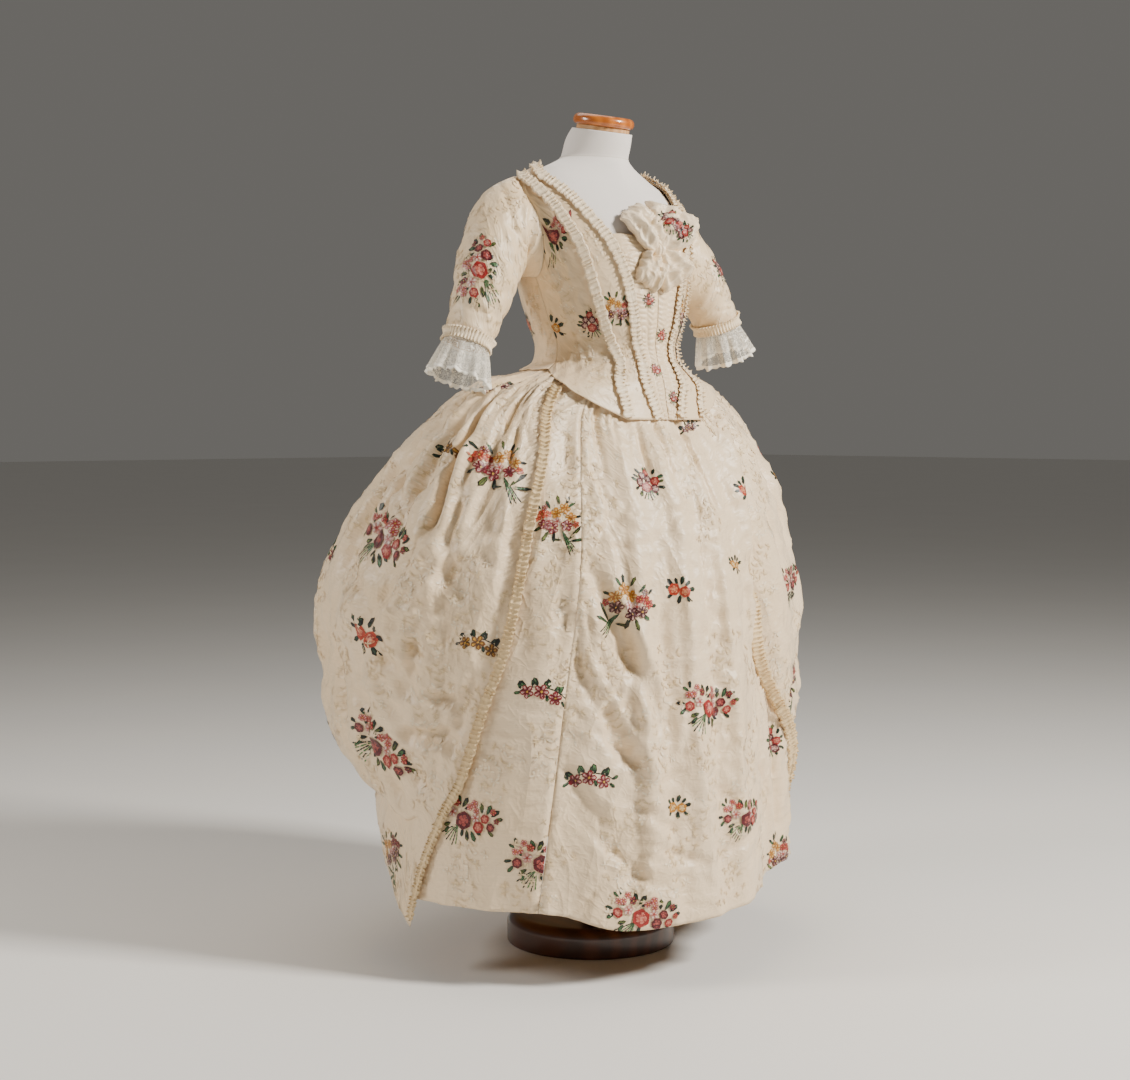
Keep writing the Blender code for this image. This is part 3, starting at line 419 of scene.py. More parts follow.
SKIRT_CRUMPLE = 0.0075
skirt_silk = silk("ivory_brocaded_silk", "F1DCBE", "E4C99F", 0.42, SKIRT_CRUMPLE)
silk_back = silk("brocaded_silk_wrong_side", "D9B98A", "C79F68", 0.55, SKIRT_CRUMPLE)
brocade = silk("brocading_silk_weft", "C96A55", "C96A55", 0.45, SKIRT_CRUMPLE, inlaid=True)
SILK_THICK = 0.002
SHELL_THICK = 0.0008


def lengths(points, axis):
    """Running length along a grid's rows or columns, in metres."""
    step = np.linalg.norm(np.diff(points, axis=axis), axis=-1)
    pad = [(0, 0), (0, 0)]
    pad[axis] = (1, 0)
    return np.cumsum(np.pad(step, pad), axis=axis)


def cloth(name, points, normal, nodes, finishes, around=False, slot="silk", thick=SHELL_THICK,
          flat_from=None):
    """A cloth piece whose right side is a grid of points and whose wall grows inward. Its UV map is in
    metres: running lengths along the rows from their middle, and up the columns, of the grid flat_from,
    which is the piece before it was creased. Returns the piece and its grids of points, normals and map."""
    flat_from = points if flat_from is None else flat_from
    flip = faces_point_in(points, normal)
    rows, columns = points.shape[:2]
    made = mesh_object(name, points.reshape(-1, 3), grid_faces(rows, columns, around, flip), finishes[0])
    if around:
        points, normal, flat_from = (
            np.concatenate([grid, grid[:, :1]], 1) for grid in (points, normal, flat_from)
        )
    up = 1 if points[-1, :, 2].mean() > points[0, :, 2].mean() else -1
    flat = (float(lengths(points, 1)[:, -1].max()), float(lengths(points, 0)[-1].max()))
    u, v = lengths(flat_from, 1), lengths(flat_from, 0)
    u = (u - u[:, -1:] / 2) * (-up if flip else up)
    v = v * up
    i, j = np.meshgrid(np.arange(rows - 1), np.arange(points.shape[1] - 1), indexing="ij")
    order = ((0, 0), (1, 0), (1, 1), (0, 1)) if flip else ((0, 0), (0, 1), (1, 1), (1, 0))
    uv = np.stack([np.stack([u[i + a, j + b], v[i + a, j + b]], -1) for a, b in order], 2)
    made.data.uv_layers.new(name="cloth").data.foreach_set("uv", uv.reshape(-1))
    wall = made.modifiers.new("wall", "SOLIDIFY")
    wall.thickness = thick
    wall.offset = -1.0
    if len(finishes) > 1:
        made.data.materials.append(finishes[1])
        wall.material_offset = 1
    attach(made, "root")
    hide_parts(*nodes)
    quads = np.cross(points[:-1, 1:] - points[:-1, :-1], points[1:, :-1] - points[:-1, :-1])
    area = min(float(np.linalg.norm(quads, axis=-1).sum()), flat[0] * flat[1])
    return made, {"points": points, "normal": normal, "u": u, "v": v, "flat": flat, "area": area}


def creases(angle, height, radius, table):
    """How far creases push a surface out. Each row is an angle and height at both its ends, a width and
    a depth: a bell-shaped trough, deepest in the middle of its length, with a low ridge on each side."""
    x, y = np.broadcast_arrays(np.radians(angle) * radius, height)
    push = np.zeros(x.shape)
    for angle_1, height_1, angle_2, height_2, width, depth in table:
        start = np.array((np.radians(angle_1) * radius, height_1))
        run = np.array((np.radians(angle_2) * radius, height_2)) - start
        size = np.hypot(*run)
        along = ((x - start[0]) * run[0] + (y - start[1]) * run[1]) / size**2
        off = ((x - start[0]) * run[1] - (y - start[1]) * run[0]) / size
        taper = np.clip(1 - np.abs(2 * along - 1) ** 2.5, 0, 1)
        q = (off / width) ** 2
        push -= depth * taper * np.exp(-q) * (1 - 0.55 * q)
    return push


def scattered(seed, count, angles, heights, radius, sizes, widths, depths, lean):
    """A seeded table of small creases: places in a range, turned mostly near lean degrees from level."""
    draw = np.random.default_rng(seed)
    middle_angle = draw.uniform(*angles, count)
    middle_height = draw.uniform(*heights, count)
    size = draw.uniform(*sizes, count)
    tilt = np.radians(draw.normal(lean, 35, count))
    half_x = np.degrees(size / 2 * np.cos(tilt) / radius)
    half_y = size / 2 * np.sin(tilt)
    width = draw.uniform(*widths, count)
    depth = draw.uniform(*depths, count) * draw.choice((1, 1, -0.8), count)
    return np.stack([middle_angle - half_x, middle_height - half_y, middle_angle + half_x,
                     middle_height + half_y, width, depth], 1)


def rumple(seed, x, y, size):
    """Crisp ridges from 0 to 1 over a surface: one less twice the folded mean of seven level waves,
    whose directions, lengths near size and phases are seeded."""
    draw = np.random.default_rng(seed)
    turn = draw.uniform(0, 2 * np.pi, 7)
    rate = 2 * np.pi / (size * draw.uniform(0.6, 1.6, 7))
    phase = draw.uniform(0, 2 * np.pi, 7)
    waves = [np.cos(k * (x * np.cos(t) + y * np.sin(t)) + p) for t, k, p in zip(turn, rate, phase)]
    return np.clip(1 - 2.2 * np.abs(np.mean(waves, axis=0)), 0, 1) ** 1.4


def rumples(table, x, y, seed_shift=0):
    """Rumples laid over one another. Each row is a seed, stretches across and up, a size, a rise, the
    level taken off, and the seed and size of the rumple that it stays inside, or None twice."""
    push = np.zeros(np.broadcast(x, y).shape)
    for seed, across, up, size, rise, level, inside_seed, inside_size in table:
        part = rise * (rumple(seed + seed_shift, x * across, y * up, size) - level)
        if inside_seed is not None:
            part = part * ease(rumple(inside_seed + seed_shift, x, y, inside_size), 0.05, 0.6)
        push += part
    return push


def waist_gathers(angle, height, rise, degrees, start, end):
    """Small gathers, so many degrees apart, that rise toward the waist between two heights."""
    return rise * np.cos(np.radians(angle) * 360 / degrees) * ease(height, start, end)


PETTICOAT_SECTIONS = (
    (0.080, 0.368, 0.322, 0.272, 0.000, 2.0),
    (0.300, 0.363, 0.317, 0.280, 0.000, 2.0),
    (0.500, 0.352, 0.300, 0.290, 0.000, 2.0),
    (0.630, 0.345, 0.283, 0.290, -0.005, 2.0),
    (0.695, 0.337, 0.266, 0.285, -0.008, 2.0),
    (0.765, 0.325, 0.240, 0.280, -0.012, 2.0),
    (0.800, 0.315, 0.222, 0.275, -0.015, 2.0),
    (0.860, 0.290, 0.183, 0.255, -0.024, 2.0),
    (0.905, 0.262, 0.150, 0.235, -0.030, 2.0),
    (0.930, 0.240, 0.142, 0.205, -0.030, 2.0),
    (0.956, 0.205, 0.136, 0.170, -0.030, 2.0),
    (0.975, 0.160, 0.130, 0.142, -0.030, 2.0),
    (0.995, 0.1104, 0.1184, 0.1090, -0.030, 2.0),
)
PETTICOAT_TOP = 0.995
HEM_LINE = ("angle", "height")
PETTICOAT_HEM = (
    (-150, 0.120), (-95, 0.127), (-53, 0.129), (-28, 0.097), (-12, 0.098), (8, 0.109),
    (20, 0.124), (50, 0.148), (90, 0.140), (150, 0.120), (210, 0.120),
)
SEAM_LINES = ("height", "right", "left")
PETTICOAT_SEAMS = ((0.094, -53.0, 52.0), (0.392, -47.0, 50.0), (0.698, -40.0, 48.0), (0.995, -37.0, 46.0))
PLEAT_DEPTH = 0.005
PLEAT_DEGREES = 15.5
FOLD_ANGLE = 28.0
FOLD_WIDTH = 9.0
FOLD_DEPTH = 0.030
SEAM_DEGREES = 0.2
SKIRT_RADIUS = 0.33


def petticoat_skin(angle, height):
    """The petticoat's inside: its level cuts, less soft cosine pleats in front and a deep bell-shaped
    trough at its left that fades out under the waist."""
    points = round_form(PETTICOAT_SECTIONS, angle, height)
    angle, height = np.broadcast_arrays(angle, height)
    shown = ease(angle, -62, -50) * (1 - ease(angle, 14, 24))
    fall = ease(-height, -0.96, -0.70)
    pleat = PLEAT_DEPTH * fall * shown * (np.cos(np.radians(angle + 53) * 360 / PLEAT_DEGREES) - 1) / 2
    fold = -FOLD_DEPTH * np.exp(-(((angle - FOLD_ANGLE) / FOLD_WIDTH) ** 2)) * ease(-height, -0.86, -0.55)
    level = np.hypot(points[..., 0], points[..., 1])
    return points * np.stack([(level + pleat + fold) / level] * 2 + [np.ones_like(level)], -1)


PETTICOAT_CREASES = (
    (-42, 0.955, -42, 0.855, 0.007, 0.007),
    (-45, 0.890, -42, 0.805, 0.010, 0.011),
    (-33, 0.960, -30, 0.800, 0.009, 0.006),
    (-25, 0.945, -24, 0.850, 0.007, 0.006),
    (-15, 0.900, -15, 0.795, 0.007, 0.008),
    (-8, 0.950, -4, 0.760, 0.010, 0.007),
    (4, 0.950, 10, 0.740, 0.010, 0.008),
    (12, 0.930, 22, 0.640, 0.013, 0.009),
    (-41, 0.815, -30, 0.812, 0.007, 0.005),
    (-28, 0.905, -18, 0.870, 0.007, 0.004),
    (-40, 0.700, -18, 0.410, 0.016, 0.015),
    (-36, 0.705, -14, 0.425, 0.010, -0.007),
    (-45, 0.545, -25, 0.330, 0.016, 0.012),
    (-41, 0.555, -21, 0.345, 0.009, -0.005),
    (-50, 0.390, -31, 0.220, 0.018, 0.010),
    (-24, 0.800, -23, 0.110, 0.017, -0.011),
    (-10, 0.900, -8, 0.150, 0.017, -0.009),
    (4, 0.840, 7, 0.120, 0.015, -0.010),
    (-17, 0.740, -16, 0.140, 0.014, 0.008),
    (-2, 0.760, 0, 0.140, 0.014, 0.008),
    (16, 0.690, 25, 0.520, 0.014, -0.008),
    (27, 0.520, 27, 0.110, 0.013, -0.012),
    (36, 0.500, 37, 0.110, 0.014, 0.014),
    (-36, 0.190, -12, 0.165, 0.014, 0.004),
    (-8, 0.330, 12, 0.260, 0.013, 0.004),
    (-50, 0.620, -40, 0.560, 0.011, 0.006),
    (-46, 0.300, -30, 0.200, 0.011, 0.007),
    (-40, 0.430, -25, 0.350, 0.009, 0.008),
    (-30, 0.310, -13, 0.235, 0.010, 0.008),
    (-36, 0.240, -20, 0.150, 0.009, 0.007),
    (-22, 0.225, -2, 0.180, 0.011, 0.008),
    (0, 0.200, 18, 0.235, 0.010, 0.007),
    (14, 0.180, 34, 0.260, 0.011, 0.008),
    (18, 0.340, 31, 0.270, 0.010, 0.007),
    (-48, 0.660, -41, 0.500, 0.010, 0.009),
    (-36, 0.570, -24, 0.500, 0.008, 0.007),
)

# The brocading on it: bouquets of roses and of lilies, garlands of three flowers under a row of leaves
# and dark rose clusters, among tan sprigs in the ground's own colour. Each petal or leaf is one patch
# of silk weft, dark at its root and light at its rim.
PATCH_POINTS = 6
PATCH_LIFT = 0.0003
PATCH_LIFT_STEP = 0.000008
ROSE_REDS = ("7A1014", "C02A24", "F6A088")
ROSE_PINKS = ("A8222C", "D8605A", "FFE6DA")
ROSE_DARKS = ("300810", "7C1A26", "D4685E")
LILY_YELLOWS = ("9A4E0C", "F0A428", "FFE9B0")
LILY_PLUMS = ("24050C", "6E1622", "FAD0C0")
WHITES = ("B8403C", "F0C0AE", "FFF6EC")
RED_EYE = ("7A0C12", "C8302C")
YELLOW_EYE = ("B5691F", "F6CB52")
CORALS = ("8A1812", "E4502E", "FFB184")
STAR_REDS = ("4A0814", "A01C2C", "FFD8CC")
BROWN_YELLOWS = ("2A1406", "9A5E0C", "F0BC4A")
LEAF_GREENS = ("0A2012", "1E4A28", "6A9A5E")
LEAF_DARKS = ("060E08", "12241A", "3E5E40")
LEAF_OLIVES = ("121C08", "3C4E18", "8E9A4A")
DAMASK = ("DBC196", "E4CDA6")
DAMASK_LIGHT = ("EAD6B4", "F4E4C8")
DYE_DEPTH = 0.66


def patch_row(x, y, turn, length, width, tip, inner, outer):
    """One woven patch: its root, turn, size, how pointed it is and its colours from root to rim."""
    return [x, y, np.radians(turn), length, width, tip, *linear(inner)[:3], *linear(outer)[:3]]


def rose(x, y, size, turn, colours):
    """A full rose: six dark-rooted outer petals, five paler ones over them and three round its heart."""
    dark, middle, light = colours
    rows = []
    for count, reach, length, width, inner, outer in ((6, 0.10, 0.42, 0.42, dark, middle),
                                                      (5, 0.04, 0.29, 0.26, middle, light),
                                                      (3, 0.00, 0.16, 0.16, light, light)):
        for k in range(count):
            a = turn + 360 * k / count + 17 * count
            root = (x + size * reach * np.cos(np.radians(a)), y + size * reach * np.sin(np.radians(a)))
            rows.append(patch_row(*root, a, size * length, size * width, 0.0, inner, outer))
    return rows


def daisy(x, y, size, turn, colours, tip=0.1, eye=YELLOW_EYE):
    """A small open flower: five dark-edged petals, dark at their roots, round its eye."""
    dark, middle, light = colours
    turns = [turn + 72 * k for k in range(5)]
    rows = [patch_row(x, y, a, size * 0.58, size * 0.44, tip, dark, middle) for a in turns]
    for a in turns:
        root = (x + size * 0.12 * np.cos(np.radians(a)), y + size * 0.12 * np.sin(np.radians(a)))
        rows.append(patch_row(*root, a, size * 0.38, size * 0.19, tip, middle, light))
    return rows + [patch_row(x - size * 0.10, y, 0, size * 0.20, size * 0.20, 0.0, *eye)]


def leaf(x, y, size, turn, colours, slim=0.36):
    """A pointed leaf: a dark rim round a paler blade that has a fine midrib."""
    dark, middle, light = colours
    return [patch_row(x, y, turn, size, size * slim, 0.45, dark, dark),
            patch_row(x, y, turn, size * 0.90, size * slim * 0.62, 0.5, middle, light),
            patch_row(x, y, turn, size * 0.92, size * slim * 0.13, 0.8, dark, dark)]


def stalk(x, y, length, turn, bend, colour, steps=5):
    """A stalk of thin patches, whose turn changes by bend along it."""
    rows = []
    for k in range(steps):
        now = turn + bend * k / steps
        rows.append(patch_row(x, y, now, length / steps * 1.35, 0.0022, 0.0, colour, colour))
        x, y = x + length / steps * np.cos(np.radians(now)), y + length / steps * np.sin(np.radians(now))
    return rows


def sheaf(x, y, reach, turn, spread, count=5):
    """The tied stalks under a bouquet, fanned out from one place, dark and pale by turns."""
    rows = []
    for k in range(count):
        swing = (k / (count - 1) - 0.5) * spread
        colour = LEAF_DARKS[1] if k % 2 == 0 else LEAF_GREENS[2]
        rows += stalk(x, y, reach * (1 - 0.12 * (k % 2)), turn + swing, -swing * 0.3, colour)
    return rows


FRINGE_Y = 0.004


def fringe(width, height, first, last, count, size, colours, slim):
    """Leaves set round an oval from one turn to another, pointing out of it, long and short by turns."""
    rows = []
    for k in range(count):
        a = np.radians(first + (last - first) * k / (count - 1))
        root = (width / 2 * np.cos(a), FRINGE_Y + height / 2 * np.sin(a))
        out = np.degrees(np.arctan2(np.sin(a) / height, np.cos(a) / width))
        turn = out + (12 if k % 3 else -14)
        rows += leaf(*root, size * (1.0 if k % 2 else 0.78), turn, colours[k % len(colours)], slim)
    return rows


GREENS = (LEAF_GREENS, LEAF_DARKS, LEAF_OLIVES)


def rose_bouquet(reds, pinks, darks):
    """A wide bunch: one full rose in the middle, a chain of roses to one side, small open blossoms above,
    upright leaves between them, and the stalks fanned out below: 12 by 9 cm."""
    rows = sheaf(-0.014, -0.012, 0.036, 238, 62, 6)
    for k, (x, y, size, turn) in enumerate((
            (-0.046, 0.022, 0.012, 150), (-0.044, 0.026, 0.013, 95), (-0.010, 0.016, 0.020, 62),
            (-0.014, 0.018, 0.018, 108), (-0.006, 0.014, 0.015, 25), (0.028, 0.012, 0.018, 100),
            (0.036, 0.012, 0.018, 70), (0.044, 0.010, 0.018, 42), (0.050, 0.006, 0.015, 12),
            (-0.050, -0.006, 0.015, 225), (-0.052, 0.002, 0.014, 185), (-0.028, -0.012, 0.016, 205),
            (-0.032, -0.018, 0.015, 238), (-0.004, -0.016, 0.015, 262), (0.003, -0.018, 0.018, 280),
            (0.011, -0.018, 0.019, 300), (0.016, -0.014, 0.016, 330), (0.040, -0.012, 0.014, 320),
            (-0.036, 0.008, 0.012, 120))):
        rows += leaf(x, y, size, turn, GREENS[k % 3], 0.46)
    for x, y, size, kind in (
            (-0.031, 0.029, 0.011, pinks), (-0.046, 0.016, 0.011, pinks), (-0.038, 0.018, 0.011, pinks),
            (-0.021, 0.022, 0.012, darks), (0.004, 0.019, 0.011, pinks), (0.013, 0.026, 0.012, pinks),
            (0.017, 0.015, 0.011, pinks), (0.047, 0.018, 0.010, darks), (0.054, 0.004, 0.009, reds)):
        rows += daisy(x, y, size, 3000 * x, kind)
    for x, y, size in ((-0.027, 0.006, 0.016), (0.017, 0.004, 0.014)):
        rows += daisy(x, y, size, 2000 * x, WHITES, 0.1, RED_EYE)
    for x, y, size, kind in (
            (-0.044, -0.002, 0.017, reds), (0.034, 0.005, 0.015, darks), (0.045, -0.007, 0.014, reds),
            (0.024, -0.010, 0.019, darks), (-0.004, -0.004, 0.029, reds)):
        rows += rose(x, y, size, 3000 * y, kind)
    return rows


def lily_bouquet(high, low, accents):
    """Three bright open flowers above a mass of darker blossoms, red ones at one side, and the stalks
    and long bent leaves drawn down to the other: 10 by 10 cm."""
    rows = sheaf(-0.008, -0.010, 0.044, 232, 20, 5)
    for k, (x, y, size, turn, slim) in enumerate((
            (-0.010, 0.032, 0.018, 128, 0.34), (-0.006, 0.036, 0.018, 95, 0.34),
            (0.006, 0.034, 0.018, 62, 0.34), (0.020, 0.024, 0.017, 50, 0.36),
            (-0.024, 0.018, 0.014, 160, 0.36), (-0.022, -0.024, 0.036, 122, 0.19),
            (-0.024, -0.026, 0.028, 160, 0.22), (0.006, -0.014, 0.020, 262, 0.36),
            (0.016, -0.016, 0.022, 290, 0.34), (0.028, -0.010, 0.018, 318, 0.38),
            (0.042, 0.002, 0.015, 345, 0.40), (-0.010, -0.026, 0.016, 352, 0.30),
            (0.004, 0.012, 0.013, 80, 0.40), (0.036, 0.020, 0.014, 30, 0.40))):
        rows += leaf(x, y, size, turn, GREENS[k % 3], slim)
    for x, y, size, turn in (
            (-0.019, 0.016, 0.018, 150), (-0.005, 0.029, 0.019, 100), (0.008, 0.019, 0.018, 70)):
        rows += daisy(x, y, size, turn, high, 0.45)
    for x, y, size, kind in (
            (0.022, 0.014, 0.013, accents), (0.032, 0.012, 0.014, accents),
            (0.040, 0.004, 0.014, accents), (0.030, 0.024, 0.010, low), (-0.030, 0.006, 0.011, accents)):
        rows += daisy(x, y, size, 3000 * x, kind)
    for x, y, size, turn in ((0.004, 0.004, 0.014, 15), (0.018, 0.002, 0.013, 50)):
        rows += daisy(x, y, size, turn, WHITES, 0.2, RED_EYE)
    for x, y, size, turn in (
            (-0.014, 0.000, 0.019, 10), (0.010, -0.009, 0.020, 60), (0.026, -0.006, 0.018, 0)):
        rows += daisy(x, y, size, turn, low, 0.35)
    return rows


def mirrored(rows):
    """The same motif turned over from side to side."""
    return [[-row[0], row[1], np.pi - row[2], *row[3:]] for row in rows]


def garland(colours, leaves):
    """Three pointed flowers under a bent branch of rounded leaves: 8.5 by 4 cm."""
    rows = stalk(-0.040, -0.014, 0.088, 46, -82, leaves[0], 11)
    for k, x in enumerate(np.linspace(-0.032, 0.038, 9)):
        y = 0.012 - 9.0 * (x - 0.004) ** 2
        out = 90 - 1300 * (x - 0.004)
        rows += leaf(x, y - 0.004, 0.016 if k % 2 else 0.012, out + (26 if k % 2 else -20), leaves, 0.56)
    for x, y, turn in (
            (-0.030, -0.008, 200), (-0.014, -0.002, 250), (0.010, -0.002, 285), (0.034, -0.008, 320)):
        rows += leaf(x, y, 0.012, turn, leaves, 0.5)
    for x, y, size in ((-0.021, -0.005, 0.020), (0.001, 0.000, 0.022), (0.024, -0.006, 0.020)):
        rows += daisy(x, y, size, 4000 * x, colours, 0.45)
    return rows


def small_sprig(colours, leaves):
    """Two ragged flowers beneath a tuft of rounded leaves: 4.5 by 4.5 cm."""
    rows = stalk(0.006, -0.004, 0.022, 318, 10, leaves[0])
    for k, (x, y, turn) in enumerate((
            (-0.013, 0.003, 165), (-0.010, 0.007, 128), (-0.003, 0.008, 100), (0.004, 0.008, 72),
            (0.011, 0.006, 45), (0.014, 0.000, 8), (-0.010, -0.006, 215), (0.002, -0.008, 262),
            (0.013, -0.009, 300))):
        rows += leaf(x, y, 0.015 if k % 2 else 0.012, turn, leaves, 0.55)
    return rows + rose(-0.008, 0.001, 0.020, 10, colours) + rose(0.010, -0.003, 0.018, 40, colours)


def rose_cluster(colours, others):
    """Six small roses in an upright tuft of leaves: 6 by 6 cm."""
    rows = fringe(0.036, 0.034, -50, 230, 12, 0.014, GREENS, 0.46) + sheaf(0.0, -0.006, 0.020, 270, 70, 4)
    for x, y, size, kind in (
            (-0.015, 0.004, 0.015, colours), (0.014, 0.006, 0.015, others), (0.000, 0.021, 0.013, others),
            (-0.010, 0.015, 0.013, colours), (0.011, -0.007, 0.015, colours),
            (-0.003, -0.004, 0.018, others), (0.002, 0.011, 0.014, colours)):
        rows += rose(x, y, size, 5000 * x, kind)
    return rows


def tan_spray(seed):
    """The ground's own pattern, woven in silk a little darker or paler: a wandering branch of small
    leaves in pairs with clusters of petals and berries round it, 18 by 8 cm, seeded."""
    draw = np.random.default_rng(seed)
    rows = []
    x, y = draw.uniform(-0.01, 0.01), -0.085
    for k in range(14):
        turn = 90 + 40 * np.sin(0.8 * k + seed)
        tone = DAMASK if draw.random() < 0.7 else DAMASK_LIGHT
        for way in (1, -1):
            reach = draw.uniform(0.007, 0.012)
            rows.append(patch_row(x, y, turn + way * draw.uniform(30, 75), reach, reach * 0.38, 0.5, *tone))
            if draw.random() < 0.72:
                place = (x + way * draw.uniform(0.009, 0.032), y + draw.uniform(-0.006, 0.010))
                for part in range(4):
                    reach = draw.uniform(0.005, 0.010)
                    aim = 90 * part + draw.uniform(-35, 35)
                    rows.append(patch_row(*place, aim, reach, reach * 0.42, 0.4, *tone))
        x, y = x + 0.013 * np.cos(np.radians(turn)), y + 0.013 * np.sin(np.radians(turn))
    return rows


MOTIFS = {
    "roses": rose_bouquet(ROSE_REDS, ROSE_PINKS, ROSE_DARKS),
    "dark_roses": rose_bouquet(ROSE_DARKS, ROSE_PINKS, ROSE_REDS),
    "lilies": lily_bouquet(LILY_YELLOWS, LILY_PLUMS, ROSE_REDS),
    "dark_lilies": lily_bouquet(LILY_YELLOWS, LILY_PLUMS, ROSE_DARKS),
    "lilies_turned": mirrored(lily_bouquet(LILY_YELLOWS, STAR_REDS, CORALS)),
    "garland_pink": garland(STAR_REDS, LEAF_GREENS),
    "garland_dark": garland(LILY_PLUMS, LEAF_DARKS),
    "garland_gold": garland(BROWN_YELLOWS, LEAF_DARKS),
    "sprig_coral": small_sprig(CORALS, LEAF_DARKS),
    "sprig_yellow": small_sprig(LILY_YELLOWS, LEAF_DARKS),
    "dark_rose": rose_cluster(LILY_PLUMS, ROSE_REDS),
    "red_rose": rose_cluster(ROSE_REDS, ROSE_PINKS),
    "tan_1": tan_spray(1),
    "tan_2": tan_spray(2),
    "tan_3": tan_spray(3),
    "tan_4": tan_spray(5),
}
TAN_SPRAYS = ("tan_1", "tan_2", "tan_3", "tan_4")


def on_cloth(sheet, u, v, row, column_at):
    """Fractional rows and columns of flat places on a cloth piece, by six of Newton's steps from a
    start, kept inside the piece."""
    rows, columns = sheet["u"].shape
    for _ in range(6):
        i = np.clip(row.astype(int), 0, rows - 2)
        j = np.clip(column_at.astype(int), 0, columns - 2)
        step = {}
        for key in ("u", "v"):
            grid = sheet[key]
            step[key] = (grid[i, j], grid[i + 1, j] - grid[i, j], grid[i, j + 1] - grid[i, j])
        miss_u = u - (step["u"][0] + step["u"][1] * (row - i) + step["u"][2] * (column_at - j))
        miss_v = v - (step["v"][0] + step["v"][1] * (row - i) + step["v"][2] * (column_at - j))
        scale = step["u"][2] * step["v"][1] - step["u"][1] * step["v"][2]
        row = np.clip(row + (step["u"][2] * miss_v - step["v"][2] * miss_u) / scale, 0, rows - 1)
        along = (step["v"][1] * miss_u - step["u"][1] * miss_v) / scale
        column_at = np.clip(column_at + along, 0, columns - 1)
    return row, column_at


def on_facets(sheet, row, column_at):
    """Points and normals at fractional rows and columns, on the two triangles of each grid cell."""
    rows, columns = sheet["u"].shape
    i = np.clip(row.astype(int), 0, rows - 2)
    j = np.clip(column_at.astype(int), 0, columns - 2)
    s, t = (row - i)[..., None], (column_at - j)[..., None]
    found = []
    for grid in (sheet["points"], sheet["normal"]):
        first, last = grid[i, j], grid[i + 1, j + 1]
        across = first + t * (grid[i, j + 1] - first) + s * (last - grid[i, j + 1])
        along = first + s * (grid[i + 1, j] - first) + t * (last - grid[i + 1, j])
        found.append(np.where(t > s, across, along))
    return found[0], unit(found[1])


def local_frame(sheet, i, j):
    """The two by two table that turns a motif's own offsets into map lengths at one grid place, so that
    the motif lies square to the warp there."""
    rows, columns = sheet["u"].shape
    low, high = max(i - 3, 0), min(i + 3, rows - 1)
    left, right = max(j - 3, 0), min(j + 3, columns - 1)
    warp = sheet["points"][high, j] - sheet["points"][low, j]
    weft = sheet["points"][i, right] - sheet["points"][i, left]
    on_map = np.array([[grid[i, right] - grid[i, left], grid[high, j] - grid[low, j]]
                       for grid in (sheet["u"], sheet["v"])])
    upward = unit(warp) * np.sign(on_map[1, 1])
    level = unit(weft - upward * (weft @ upward)) * np.sign(on_map[0, 0])
    return on_map @ np.linalg.inv(np.array([[weft @ level, warp @ level], [weft @ upward, warp @ upward]]))


